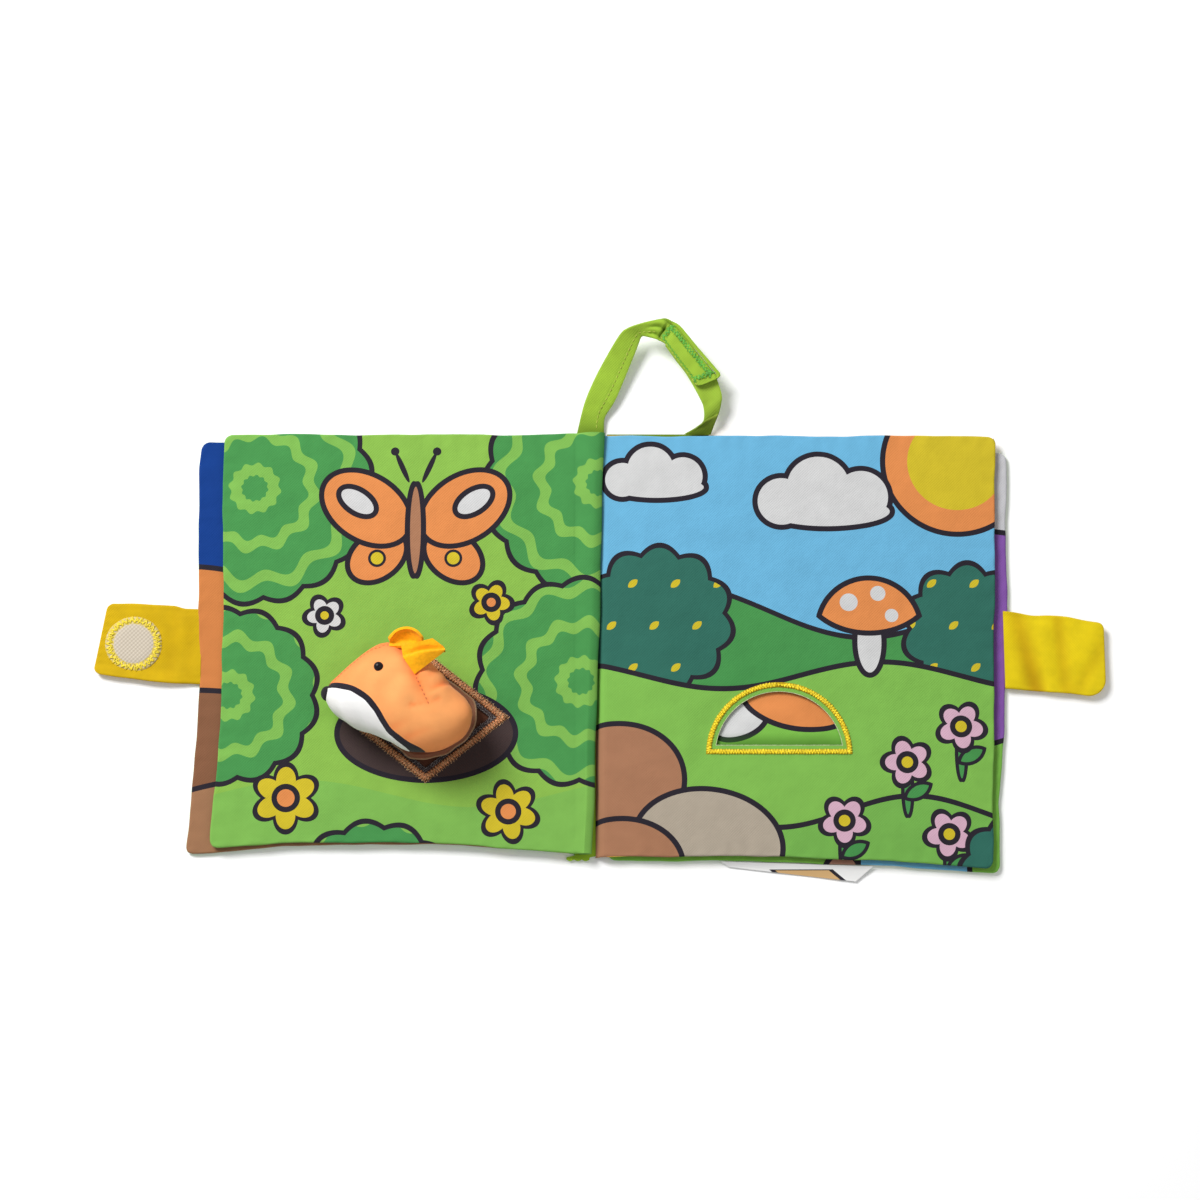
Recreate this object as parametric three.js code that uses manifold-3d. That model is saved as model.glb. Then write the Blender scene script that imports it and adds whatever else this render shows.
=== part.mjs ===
// A crinkle cloth book for babies, lying open and face up on a table.
// Millimetres, +X to the right of the open book, +Y to its head, +Z up.
// The origin is on the table, under the middle of the spine.
// Left of the spine lies the front cover with the first leaf on it, and right of it
// the back cover with the second leaf. Every board is two cloth panels sewn round,
// with crinkle film between them, and the covers hold batting as well.

import * as THREE from 'three';
import Module from 'manifold-3d';
import { mergeVertices } from 'three/addons/utils/BufferGeometryUtils.js';

const wasm = await Module();
wasm.setup();

// Cloth, film and clearances
const touchGap = 0.3;
const clothThickness = 0.5;
const filmThickness = 0.2;
const cutOverrun = 4;

// Boards: full thickness at the crown, and the margin over which they thin to the seam
const coverCrown = 3.4;
const leafCrown = 2.4;
const crownMargin = 26;
const marginShares = [0, 0.15, 0.42, 0.7, 1];
const middleCells = 5;
const innerLayerStart = 3;
const cornerCutShare = 0.4;
const tabCells = 2;
const circleSegments = 12;

// The head of the book, and how far the other pieces stop short of it
const bookHead = 97;
const spineHeadDrop = 5;
const frontCoverHeadDrop = 3.8;
const backCoverHeadDrop = 7.6;
const secondLeafHeadDrop = 0.6;
const handleHingeRise = 1.4;

// Spine
const spineWidth = 14.4;
const spineHead = bookHead - spineHeadDrop;
const spineFoot = -92.5;
const tapeWidth = 10.6;
const tapeFoot = -95;
const stubTop = -93.2;
const stubLeft = -10.4;
const tapeLean = 1.7;
const stubScallops = 3;
const stubScallopDepth = 0.9;

// Front cover: reach from the spine's middle, and the edges at the head and the foot
const frontCoverReachHead = 174.2;
const frontCoverReachFoot = 176.6;
const frontCoverHead = bookHead - frontCoverHeadDrop;
const frontCoverFootInner = -92.2;
const frontCoverFootOuter = -92.8;
const frontCoverFootBow = 5.2;

// Back cover
const backCoverReachHead = 187;
const backCoverReachFoot = 180.6;
const backCoverHead = bookHead - backCoverHeadDrop;
const backCoverFootInner = -95.4;
const backCoverFootOuter = -101;
const backCoverFootBow = 2;

// First leaf, on the front cover
const firstLeafReachHead = 162.8;
const firstLeafReachFoot = 166.4;
const firstLeafHead = bookHead;
const firstLeafFootInner = -92.9;
const firstLeafFootOuter = -90.2;
const firstLeafFootBow = 4;

// Second leaf, on the back cover
const secondLeafReachHead = 181.8;
const secondLeafReachFoot = 177;
const secondLeafHead = bookHead - secondLeafHeadDrop;
const secondLeafFootInner = -94.2;
const secondLeafFootOuter = -99.3;
const secondLeafFootBow = 2.5;

// Gutter rolls: the leaves' bound edges, folded into the spine
const rollThickness = 0.8;
const rollRiseHead = 3.6;
const rollRiseFoot = 1.7;
const rollOverhangHead = 6.2;
const rollOverhangFoot = 0.8;
const secondRollEnd = 2.4;

// Finger puppet: hole in the front cover, neck sleeve, and the diamond in the leaf
const puppetX = -72.6;
const puppetY = -31.8;
const sleeveRadius = 14.5;
const sleeveWall = 2;
const sleeveTop = 9;
const fingerRingWidth = 1.7;
const fingerRingHeight = 1;
const diamondHalfWidth = 36.7;
const diamondHalfHeight = 29.2;
const diamondRimWidth = 5.3;

// Puppet head: an egg along the head line, with a finger pocket under it
const headLength = 65.5;
const headHalfWidth = 23.8;
const headHalfThickness = 15.4;
const headBackOffset = 21;
const headMiddleHeight = 24.8;
const headSnoutDrop = 8;
const headTurn = THREE.MathUtils.degToRad(-7);
const headBend = 6.5;
const headPower = 1.35;
const pocketRadius = 10.4;
const pocketTop = 25;
const earWidth = 17;
const earHeight = 15;
const earThickness = 1.6;
const earSink = 4;
const earShoulderShare = 0.6;
const nearEar = {
  alongShare: -0.02,
  sideShare: 0.8,
  riseShare: 0.55,
  tilt: THREE.MathUtils.degToRad(24),
  turn: THREE.MathUtils.degToRad(-14),
};
const farEar = {
  alongShare: -0.12,
  sideShare: 1,
  riseShare: -0.2,
  tilt: THREE.MathUtils.degToRad(8),
  turn: THREE.MathUtils.degToRad(10),
};
const eyeRadius = 2.4;
const eyeAlongShare = 0.66;
const eyeSideShare = 0.35;
const eyeSinkShare = 0.33;
const noseRadius = 4.4;
const noseForwardShare = 0.4;
const noseSideShare = 0.5;
const noseRiseShare = 0.4;

// Half-moon window in the second leaf
const moonX = 83.6;
const moonFlat = -48.4;
const moonRadius = 32.4;
const moonRimWidth = 4.3;

// Closure tabs: reach past the cover's edge, and their edges
const tabCrown = 1.9;
const leftTabReachHead = 40.4;
const leftTabReachFoot = 44.6;
const leftTabHeadInner = 17.4;
const leftTabHeadOuter = 19.6;
const leftTabFootInner = -16.2;
const leftTabFootOuter = -11.4;
const leftTabTilt = THREE.MathUtils.degToRad(-1);
const rightTabReachHead = 43.2;
const rightTabReachFoot = 44;
const rightTabHeadInner = 16.3;
const rightTabHeadOuter = 10.6;
const rightTabFootInner = -18.5;
const rightTabFootOuter = -21.4;
const rightTabTilt = THREE.MathUtils.degToRad(4.2);
const discRadius = 12.7;
const discThickness = 0.8;
const discStitchWidth = 3.9;
const discStitchThickness = 0.3;
const leftDiscInset = 2.2;
const leftDiscY = 1.8;
const rightDiscInset = 4.4;
const tabMargin = 9;

// Handle strap: a loop past the spine's head, with a hook-and-loop closing
const strapThickness = 0.8;
const patchThickness = 0.6;
const handleHinge = bookHead + handleHingeRise;
const handleSpread = 60;
const handleRise = 52.5;
const handleLift = 12;
const anchorThickness = 0.5;
const anchorWidth = 10.8;
const anchorReach = 48;
const patchInset = 1.8;
const tipStartShare = 0.02;
const patchStartShare = 0.2;
const patchEndShare = 0.94;

// Seam tag at the back cover's foot
const tagHeadLeft = 57.4;
const tagHeadRight = 124.6;
const tagFootLeft = 61;
const tagFootRight = 116.8;
const tagDropLeft = 2.2;
const tagDropRight = 6.6;
const tagThickness = 0.4;

// Cloth colours
const colours = {
  lime: 0x9dcf35,
  leafGreen: 0x85c656,
  coverGreen: 0xa3d46f,
  sky: 0x6fc0ee,
  brown: 0xa8745a,
  purple: 0x7b4aa0,
  film: 0xe9ecef,
  batting: 0xf3f1ea,
  copper: 0x9c5b34,
  yellow: 0xdfc015,
  hook: 0xefe6c0,
  orange: 0xfba563,
  white: 0xf4f1ea,
  ear: 0xffb91f,
  dark: 0x2b2630,
};

function cloth(colour, roughness = 0.85) {
  return new THREE.MeshStandardMaterial({ color: colour, roughness, metalness: 0 });
}

function piece(name, geometry, colour, roughness) {
  const mesh = new THREE.Mesh(geometry, cloth(colour, roughness));
  mesh.name = name;
  return mesh;
}

// Solids and booleans

function toSolid(geometry) {
  const bare = geometry.clone();
  bare.deleteAttribute('normal');
  bare.deleteAttribute('uv');
  const merged = mergeVertices(bare);
  const mesh = new wasm.Mesh({
    numProp: 3,
    vertProperties: new Float32Array(merged.attributes.position.array),
    triVerts: new Uint32Array(merged.index.array),
  });
  return new wasm.Manifold(mesh);
}

function toGeometry(solid) {
  const mesh = solid.getMesh();
  const geometry = new THREE.BufferGeometry();
  geometry.setAttribute('position', new THREE.BufferAttribute(mesh.vertProperties, 3));
  geometry.setIndex(new THREE.BufferAttribute(mesh.triVerts, 1));
  geometry.computeVertexNormals();
  return geometry;
}

function cut(geometry, ...tools) {
  let solid = toSolid(geometry);
  for (const tool of tools) solid = solid.subtract(toSolid(tool));
  return toGeometry(solid);
}

function common(geometry, tool) {
  return toGeometry(toSolid(geometry).intersect(toSolid(tool)));
}

// A prism of a flat outline, from one height to another
function prism(shape, low, high, curveSegments = 32) {
  const geometry = new THREE.ExtrudeGeometry(shape, {
    depth: high - low,
    bevelEnabled: false,
    curveSegments,
  });
  geometry.translate(0, 0, low);
  return geometry;
}

// A closed solid between two sheets of points that have the same rows and columns.
// The upper sheet is seen counter-clockwise with rows along +X and columns along +Y.
function between(lower, upper) {
  const rows = upper.length;
  const columns = upper[0].length;
  const positions = [];
  for (const sheet of [lower, upper]) {
    for (const row of sheet) {
      for (const point of row) positions.push(point.x, point.y, point.z);
    }
  }
  const at = (side, i, j) => (side * rows + i) * columns + j;
  const faces = [];
  const quad = (a, b, c, d) => faces.push(a, b, c, a, c, d);
  for (let i = 0; i + 1 < rows; i += 1) {
    for (let j = 0; j + 1 < columns; j += 1) {
      quad(at(1, i, j), at(1, i + 1, j), at(1, i + 1, j + 1), at(1, i, j + 1));
      quad(at(0, i, j + 1), at(0, i + 1, j + 1), at(0, i + 1, j), at(0, i, j));
    }
    quad(at(0, i, 0), at(0, i + 1, 0), at(1, i + 1, 0), at(1, i, 0));
    quad(at(1, i, columns - 1), at(1, i + 1, columns - 1), at(0, i + 1, columns - 1), at(0, i, columns - 1));
  }
  for (let j = 0; j + 1 < columns; j += 1) {
    quad(at(1, 0, j), at(1, 0, j + 1), at(0, 0, j + 1), at(0, 0, j));
    quad(at(0, rows - 1, j), at(0, rows - 1, j + 1), at(1, rows - 1, j + 1), at(1, rows - 1, j));
  }
  const geometry = new THREE.BufferGeometry();
  geometry.setAttribute('position', new THREE.Float32BufferAttribute(positions, 3));
  geometry.setIndex(faces);
  geometry.computeVertexNormals();
  return geometry;
}

// Sewn boards

const boardInner = spineWidth / 2 + touchGap;

// Grid lines across a length: close together in the two margins, even between them
function gridLines(length, margin, cells) {
  const lines = marginShares.map((share) => share * margin);
  for (let cell = 1; cell < cells; cell += 1) {
    lines.push(margin + (cell / cells) * (length - 2 * margin));
  }
  for (const share of [...marginShares].reverse()) lines.push(length - share * margin);
  return lines;
}

function smooth(share) {
  const t = Math.min(Math.max(share, 0), 1);
  return t * t * (3 - 2 * t);
}

// A board lies from its inner edge to its outer one; side is -1 on the left of the spine
function board({ side, innerHead = boardInner, innerFoot = boardInner, reachHead, reachFoot,
  headInner, headOuter, footInner, footOuter, footBow = 0, crown,
  margin = crownMargin, cells = middleCells }) {
  const width = (reachHead + reachFoot - innerHead - innerFoot) / 2;
  const height = headInner - footInner;
  const across = gridLines(width, margin, cells);
  const along = gridLines(height, margin, cells);
  const seam = clothThickness + touchGap / 2;
  const innerAt = (v) => innerFoot + v * (innerHead - innerFoot);
  const outerAt = (v) => reachFoot + v * (reachHead - reachFoot);

  const footAt = (u) => footInner + u * (footOuter - footInner) + footBow * 4 * u * (1 - u);

  // A point of the board's plane at shares u from the spine and v from the foot
  function place(u, v) {
    const x = innerAt(v) + u * (outerAt(v) - innerAt(v));
    const foot = footAt(u);
    const head = headInner + u * (headOuter - headInner);
    return new THREE.Vector2(side * x, foot + v * (head - foot));
  }

  // Half the board's thickness at a grid line pair
  function half(i, j) {
    const fromSide = Math.min(across[i], width - across[i]);
    const fromEnd = Math.min(along[j], height - along[j]);
    return seam + (crown / 2 - seam) * smooth(fromSide / margin) * smooth(fromEnd / margin);
  }

  // A point of the grid, with the four corners cut across
  function corner(i, j) {
    const lastI = across.length - 1;
    const lastJ = along.length - 1;
    const point = place(across[i] / width, along[j] / height);
    const ends = (i === 0 || i === lastI) && (j === 0 || j === lastJ);
    if (!ends) return point;
    const nextI = i === 0 ? 1 : lastI - 1;
    const nextJ = j === 0 ? 1 : lastJ - 1;
    const beside = place(across[nextI] / width, along[j] / height);
    const below = place(across[i] / width, along[nextJ] / height);
    const middle = beside.add(below).multiplyScalar(0.5);
    return middle.lerp(point, cornerCutShare);
  }

  // A sheet of the board's points, at a height worked out from half its thickness
  function sheet(level, start) {
    const rows = [];
    for (let i = start; i < across.length - start; i += 1) {
      const row = [];
      for (let j = start; j < along.length - start; j += 1) {
        const flat = corner(i, j);
        row.push(new THREE.Vector3(flat.x, flat.y, level(half(i, j))));
      }
      rows.push(row);
    }
    return side < 0 ? rows.reverse() : rows;
  }

  function layer(low, high, start = 0) {
    return between(sheet(low, start), sheet(high, start));
  }

  return {
    outerAt: (y) => outerAt((y - footOuter) / (headOuter - footOuter)),
    footAt: (x) => footAt((x - innerFoot) / (reachFoot - innerFoot)),
    solid: () => layer((h) => -h, (h) => h),
    lowerPanel: () => layer((h) => -h, (h) => clothThickness - h),
    upperPanel: () => layer((h) => h - clothThickness, (h) => h),
    film: (drop) => layer(
      (h) => h - clothThickness - drop - filmThickness,
      (h) => h - clothThickness - drop,
      innerLayerStart,
    ),
    middleFilm: () => layer(() => -filmThickness / 2, () => filmThickness / 2, innerLayerStart),
    batting: () => layer(
      (h) => clothThickness + touchGap - h,
      (h) => h - clothThickness - 2 * touchGap - filmThickness,
      innerLayerStart,
    ),
  };
}

const coverMiddle = coverCrown / 2;
const leafMiddle = coverCrown + touchGap + leafCrown / 2;
const tapeBottom = clothThickness + touchGap;
const tapeTop = tapeBottom + clothThickness;

const frontCover = board({
  side: -1,
  reachHead: frontCoverReachHead,
  reachFoot: frontCoverReachFoot,
  headInner: frontCoverHead,
  headOuter: frontCoverHead,
  footInner: frontCoverFootInner,
  footOuter: frontCoverFootOuter,
  footBow: frontCoverFootBow,
  crown: coverCrown,
});

const backCover = board({
  side: 1,
  reachHead: backCoverReachHead,
  reachFoot: backCoverReachFoot,
  headInner: backCoverHead,
  headOuter: backCoverHead,
  footInner: backCoverFootInner,
  footOuter: backCoverFootOuter,
  footBow: backCoverFootBow,
  crown: coverCrown,
});

const firstLeaf = board({
  side: -1,
  reachHead: firstLeafReachHead,
  reachFoot: firstLeafReachFoot,
  headInner: firstLeafHead,
  headOuter: firstLeafHead,
  footInner: firstLeafFootInner,
  footOuter: firstLeafFootOuter,
  footBow: firstLeafFootBow,
  crown: leafCrown,
});

const secondLeaf = board({
  side: 1,
  reachHead: secondLeafReachHead,
  reachFoot: secondLeafReachFoot,
  headInner: secondLeafHead,
  headOuter: secondLeafHead,
  footInner: secondLeafFootInner,
  footOuter: secondLeafFootOuter,
  footBow: secondLeafFootBow,
  crown: leafCrown,
});

// Outlines of the holes

function circle(x, y, radius) {
  return new THREE.Shape().absarc(x, y, radius, 0, 2 * Math.PI, false);
}

function ring(x, y, outer, inner) {
  const shape = circle(x, y, outer);
  shape.holes.push(new THREE.Path().absarc(x, y, inner, 0, 2 * Math.PI, true));
  return shape;
}

// The diamond, drawn in from its outer stitching by a given width
function diamondPoints(inset) {
  const toSide = (diamondHalfWidth * diamondHalfHeight) / Math.hypot(diamondHalfWidth, diamondHalfHeight);
  const share = 1 - inset / toSide;
  const wide = share * diamondHalfWidth;
  const high = share * diamondHalfHeight;
  return [
    new THREE.Vector2(puppetX + wide, puppetY),
    new THREE.Vector2(puppetX, puppetY + high),
    new THREE.Vector2(puppetX - wide, puppetY),
    new THREE.Vector2(puppetX, puppetY - high),
  ];
}

// The half-moon, drawn in from its outer stitching by a given width
function moonPoints(inset) {
  const radius = moonRadius - inset;
  const flat = moonFlat + inset;
  const steps = 22;
  const start = Math.asin(inset / radius);
  const points = [];
  for (let step = 0; step <= steps; step += 1) {
    const angle = start + (step / steps) * (Math.PI - 2 * start);
    const x = moonX + radius * Math.cos(angle);
    points.push(new THREE.Vector2(x, Math.max(moonFlat + radius * Math.sin(angle), flat)));
  }
  return points;
}

function framed(outer, inner) {
  const shape = new THREE.Shape(outer);
  shape.holes.push(new THREE.Path(inner));
  return shape;
}

// Spine

// The outer strip joins the covers under the spine
function spineOuterStrip() {
  const outline = new THREE.Shape([
    new THREE.Vector2(-spineWidth / 2, spineFoot),
    new THREE.Vector2(spineWidth / 2, spineFoot),
    new THREE.Vector2(spineWidth / 2, spineHead),
    new THREE.Vector2(-spineWidth / 2, spineHead),
  ]);
  return piece('spine_outer_strip', prism(outline, 0, clothThickness), colours.coverGreen);
}

// The binding tape runs up the spine inside, and ends in a scalloped stub at the foot
function spineBindingTape() {
  const outline = new THREE.Shape();
  const half = tapeWidth / 2;
  const tapeHead = handleHinge - touchGap;
  outline.moveTo(half, tapeHead);
  outline.lineTo(-half, tapeHead);
  outline.lineTo(-half - tapeLean, stubTop);
  outline.lineTo(stubLeft, stubTop - touchGap);
  outline.lineTo(stubLeft, tapeFoot);
  for (let scallop = 0; scallop < stubScallops; scallop += 1) {
    const next = stubLeft + ((scallop + 1) / stubScallops) * tapeWidth;
    const middle = next - tapeWidth / stubScallops / 2;
    outline.quadraticCurveTo(middle, tapeFoot - 2 * stubScallopDepth, next, tapeFoot);
  }
  outline.lineTo(stubLeft + tapeWidth, stubTop - touchGap);
  outline.lineTo(half - tapeLean, stubTop);
  return piece('spine_binding_tape', prism(outline, tapeBottom, tapeTop, 6), colours.lime);
}

// Strips and straps

// A sheet solid along a strip that is given by its two edges, curves of 3-D points.
// The edges run from start to end, and offset moves the strip along its own normal.
function strip(firstEdge, secondEdge, thickness, sizes = {}) {
  const { steps = 12, offset = 0, from = 0, to = 1, inset = 0 } = sizes;
  const tangentStep = 0.01;
  const first = new THREE.CatmullRomCurve3(firstEdge, false, 'centripetal');
  const second = new THREE.CatmullRomCurve3(secondEdge, false, 'centripetal');
  const middleAt = (t) => first.getPoint(t).lerp(second.getPoint(t), 0.5);
  const lower = [];
  const upper = [];
  for (let step = 0; step <= steps; step += 1) {
    const t = from + (step / steps) * (to - from);
    const near = Math.min(t + tangentStep, 1);
    const past = Math.max(t - tangentStep, 0);
    const along = middleAt(near).sub(middleAt(past));
    const a = first.getPoint(t);
    const b = second.getPoint(t);
    const across = b.clone().sub(a);
    const width = across.length();
    const normal = along.cross(across).normalize();
    const rowLower = [];
    const rowUpper = [];
    for (const share of [inset / width, 0.5, 1 - inset / width]) {
      const point = a.clone().lerp(b, share);
      rowLower.push(point.clone().addScaledVector(normal, offset - thickness / 2));
      rowUpper.push(point.clone().addScaledVector(normal, offset + thickness / 2));
    }
    lower.push(rowLower);
    upper.push(rowUpper);
  }
  return between(lower, upper);
}

// Gutter rolls

// The first leaf's bound edge bulges over the spine to the right and folds back under
function firstLeafRoll() {
  const start = -boardInner + touchGap;
  const seatHeight = tapeTop + touchGap + rollThickness / 2;
  const reachShares = [0, 0.2, 0.48, 0.78, 1, 0.95, 0.72, 0.57];
  const riseShares = [0, 0.55, 0.94, 1, 0.75, 0.4, 0.02];
  const edge = (y, overhang, rise) => reachShares.map((share, index) => {
    const x = start + share * (overhang - rollThickness / 2 - start);
    const last = index === reachShares.length - 1;
    return new THREE.Vector3(x, y, last ? seatHeight : leafMiddle + riseShares[index] * rise);
  });
  const foot = edge(firstLeafFootInner, rollOverhangFoot, rollRiseFoot);
  const head = edge(firstLeafHead, rollOverhangHead, rollRiseHead);
  return piece('first_leaf_gutter_roll', strip(foot, head, rollThickness, { steps: 22 }), colours.leafGreen);
}

// The second leaf's bound edge dips under the first one, down to the binding tape
function secondLeafRoll() {
  const start = boardInner - touchGap;
  const seatHeight = tapeTop + touchGap + rollThickness / 2;
  const reachShares = [0, 0.36, 0.76, 1];
  const dropShares = [0, 0.16, 0.66, 1];
  const edge = (y) => reachShares.map((share, index) => new THREE.Vector3(
    start - share * (start - secondRollEnd),
    y,
    leafMiddle - dropShares[index] * (leafMiddle - seatHeight),
  ));
  const head = edge(secondLeafHead);
  const foot = edge(secondLeafFootInner);
  return piece('second_leaf_gutter_roll', strip(head, foot, rollThickness, { steps: 8 }), colours.sky);
}

// Finger puppet

// Half the head's width, as a share of its greatest, at a share of its length from the back
function headSwell(share) {
  return Math.pow(Math.max(1 - (2 * share - 1) ** 2, 0), headPower / 2);
}

// The point of the head line at a share of its length, from the back to the snout
function headLine(share) {
  const along = headBackOffset - share * headLength;
  const bend = headBend * Math.sin(Math.PI * share);
  return new THREE.Vector3(along, bend, headMiddleHeight - headSnoutDrop * share ** 2);
}

// The head's egg, about its own line, let out by a margin
function headEgg(margin = 0) {
  const rings = 14;
  const sides = 20;
  const positions = [];
  const faces = [];
  const back = headLine(0);
  const snout = headLine(1);
  positions.push(back.x + margin, back.y, back.z);
  for (let ringIndex = 1; ringIndex < rings; ringIndex += 1) {
    const share = (1 - Math.cos((Math.PI * ringIndex) / rings)) / 2;
    const centre = headLine(share);
    const swell = headSwell(share);
    for (let side = 0; side < sides; side += 1) {
      const angle = (2 * Math.PI * side) / sides;
      positions.push(
        centre.x,
        centre.y + (headHalfWidth * swell + margin) * Math.cos(angle),
        centre.z + (headHalfThickness * swell + margin) * Math.sin(angle),
      );
    }
  }
  positions.push(snout.x - margin, snout.y, snout.z);
  const last = positions.length / 3 - 1;
  const at = (ringIndex, side) => 1 + (ringIndex - 1) * sides + (side % sides);
  for (let side = 0; side < sides; side += 1) {
    faces.push(0, at(1, side), at(1, side + 1));
    for (let ringIndex = 1; ringIndex + 1 < rings; ringIndex += 1) {
      faces.push(at(ringIndex, side), at(ringIndex + 1, side), at(ringIndex + 1, side + 1));
      faces.push(at(ringIndex, side), at(ringIndex + 1, side + 1), at(ringIndex, side + 1));
    }
    faces.push(last, at(rings - 1, side + 1), at(rings - 1, side));
  }
  const geometry = new THREE.BufferGeometry();
  geometry.setAttribute('position', new THREE.Float32BufferAttribute(positions, 3));
  geometry.setIndex(faces);
  geometry.rotateZ(headTurn);
  geometry.computeVertexNormals();
  return geometry;
}

// The finger pocket: a thimble-shaped hollow up through the sleeve into the head
function fingerPocket() {
  const capShares = [[0, 1], [0.45, 0.97], [0.8, 0.86], [1, 0.66]];
  const profile = capShares.map(([reach, rise]) => new THREE.Vector2(reach * pocketRadius, rise * pocketTop));
  profile.push(new THREE.Vector2(pocketRadius, -cutOverrun));
  profile.push(new THREE.Vector2(0, -cutOverrun));
  const geometry = new THREE.LatheGeometry(profile.reverse(), 24);
  geometry.rotateX(Math.PI / 2);
  return geometry;
}

// The slab on the chin's side of the line from the snout's top to the throat
function chinSlab(margin) {
  const seamTop = new THREE.Vector2(headBackOffset - headLength, headBend);
  const throat = new THREE.Vector2(headBackOffset - headLength / 2, -headHalfWidth);
  const along = throat.clone().sub(seamTop).normalize();
  const away = new THREE.Vector2(along.y, -along.x);
  const reach = headLength;
  const a = seamTop.clone().addScaledVector(along, -reach).addScaledVector(away, margin);
  const b = throat.clone().addScaledVector(along, reach).addScaledVector(away, margin);
  const c = b.clone().addScaledVector(away, reach);
  const d = a.clone().addScaledVector(away, reach);
  const outline = new THREE.Shape([a, b, c, d]);
  const slab = prism(outline, -headLength, headLength);
  slab.rotateZ(headTurn);
  return slab;
}

// The neck's end of the head sits on the sleeve
function sleeveSeat() {
  return prism(circle(0, 0, sleeveRadius + touchGap), -cutOverrun, sleeveTop + touchGap, circleSegments);
}

function ear(name, { alongShare, sideShare, riseShare, tilt, turn }) {
  const shoulder = earShoulderShare * earHeight;
  const outline = new THREE.Shape();
  outline.moveTo(-earWidth / 2, -earSink);
  outline.lineTo(earWidth / 2, -earSink);
  outline.bezierCurveTo(earWidth / 2, shoulder, earWidth / 4, earHeight, 0, earHeight);
  outline.bezierCurveTo(-earWidth / 4, earHeight, -earWidth / 2, shoulder, -earWidth / 2, -earSink);
  const geometry = prism(outline, -earThickness / 2, earThickness / 2, 10);
  geometry.rotateX(tilt);
  geometry.rotateZ(turn);
  geometry.translate(
    alongShare * headLength,
    sideShare * (headHalfWidth + headBend - earSink),
    headMiddleHeight + riseShare * headHalfThickness,
  );
  return piece(name, cut(geometry, headEgg(touchGap)), colours.ear);
}

function eye() {
  const centre = headLine(eyeAlongShare);
  const swell = headSwell(eyeAlongShare);
  const rise = Math.sqrt(1 - eyeSideShare ** 2) * headHalfThickness * swell;
  const geometry = new THREE.SphereGeometry(eyeRadius, 12, 8);
  geometry.translate(
    centre.x,
    centre.y + eyeSideShare * headHalfWidth * swell,
    centre.z + rise - eyeSinkShare * eyeRadius,
  );
  geometry.rotateZ(headTurn);
  return piece('puppet_eye', cut(geometry, headEgg(touchGap)), colours.dark, 0.4);
}

function nose() {
  const tip = headLine(1);
  const geometry = new THREE.SphereGeometry(noseRadius, 12, 8);
  geometry.translate(
    tip.x + noseForwardShare * noseRadius,
    tip.y + noseSideShare * noseRadius,
    tip.z + noseRiseShare * noseRadius,
  );
  geometry.rotateZ(headTurn);
  return piece('puppet_nose', cut(geometry, headEgg(touchGap)), colours.dark, 0.6);
}

function puppet() {
  const group = new THREE.Group();
  group.position.set(puppetX, puppetY, 0);
  const shell = cut(headEgg(), fingerPocket(), sleeveSeat());
  group.add(piece('puppet_head', cut(shell, chinSlab(0)), colours.orange, 0.95));
  group.add(piece('puppet_chin', common(shell, chinSlab(touchGap)), colours.white, 0.95));
  group.add(ear('puppet_near_ear', nearEar));
  group.add(ear('puppet_far_ear', farEar));
  group.add(eye());
  group.add(nose());
  return group;
}

// Front cover

function frontCoverGroup() {
  const group = new THREE.Group();
  group.position.z = coverMiddle;
  const holeRadius = sleeveRadius + touchGap;
  const ringRadius = holeRadius + fingerRingWidth;
  const hole = (radius) => prism(circle(puppetX, puppetY, radius), -coverCrown, coverCrown, circleSegments);
  const outerPanel = cut(frontCover.lowerPanel(), hole(holeRadius));
  const innerPanel = cut(frontCover.upperPanel(), hole(holeRadius));
  const batting = cut(frontCover.batting(), hole(ringRadius));
  const film = cut(frontCover.film(touchGap), hole(ringRadius));
  group.add(piece('front_cover_outer_panel', outerPanel, colours.coverGreen));
  group.add(piece('front_cover_batting', batting, colours.batting, 1));
  group.add(piece('front_cover_crinkle_film', film, colours.film, 0.3));
  group.add(piece('front_cover_inner_panel', innerPanel, colours.brown));

  const ringLow = coverMiddle + touchGap;
  const ringShape = ring(puppetX, puppetY, ringRadius, holeRadius);
  const fingerRing = prism(ringShape, ringLow, ringLow + fingerRingHeight, circleSegments);
  group.add(piece('finger_hole_ring', fingerRing, colours.copper));

  const sleeveShape = ring(puppetX, puppetY, sleeveRadius, sleeveRadius - sleeveWall);
  const sleeve = prism(sleeveShape, -coverMiddle, sleeveTop - coverMiddle, circleSegments);
  group.add(piece('puppet_sleeve', sleeve, colours.copper));
  return group;
}

// Back cover

function backCoverGroup() {
  const group = new THREE.Group();
  group.position.z = coverMiddle;
  group.add(piece('back_cover_outer_panel', backCover.lowerPanel(), colours.coverGreen));
  group.add(piece('back_cover_batting', backCover.batting(), colours.batting, 1));
  group.add(piece('back_cover_crinkle_film', backCover.film(touchGap), colours.film, 0.3));
  group.add(piece('back_cover_inner_panel', backCover.upperPanel(), colours.purple));
  return group;
}

// Leaves

function leafGroup(name, leaf, outline, rimName, rimWidth, leafColour, rimColour) {
  const group = new THREE.Group();
  group.position.z = leafMiddle;
  const opening = () => prism(new THREE.Shape(outline(-touchGap)), -leafCrown, leafCrown);
  const inside = () => prism(new THREE.Shape(outline(-2 * touchGap)), -leafCrown, leafCrown);
  group.add(piece(`${name}_back_panel`, cut(leaf.lowerPanel(), opening()), leafColour));
  group.add(piece(`${name}_crinkle_film`, cut(leaf.middleFilm(), inside()), colours.film, 0.3));
  group.add(piece(`${name}_front_panel`, cut(leaf.upperPanel(), opening()), leafColour));
  const rim = prism(framed(outline(0), outline(rimWidth)), -leafCrown / 2, leafCrown / 2);
  group.add(piece(rimName, rim, rimColour));
  return group;
}

// Closure tabs

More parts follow.
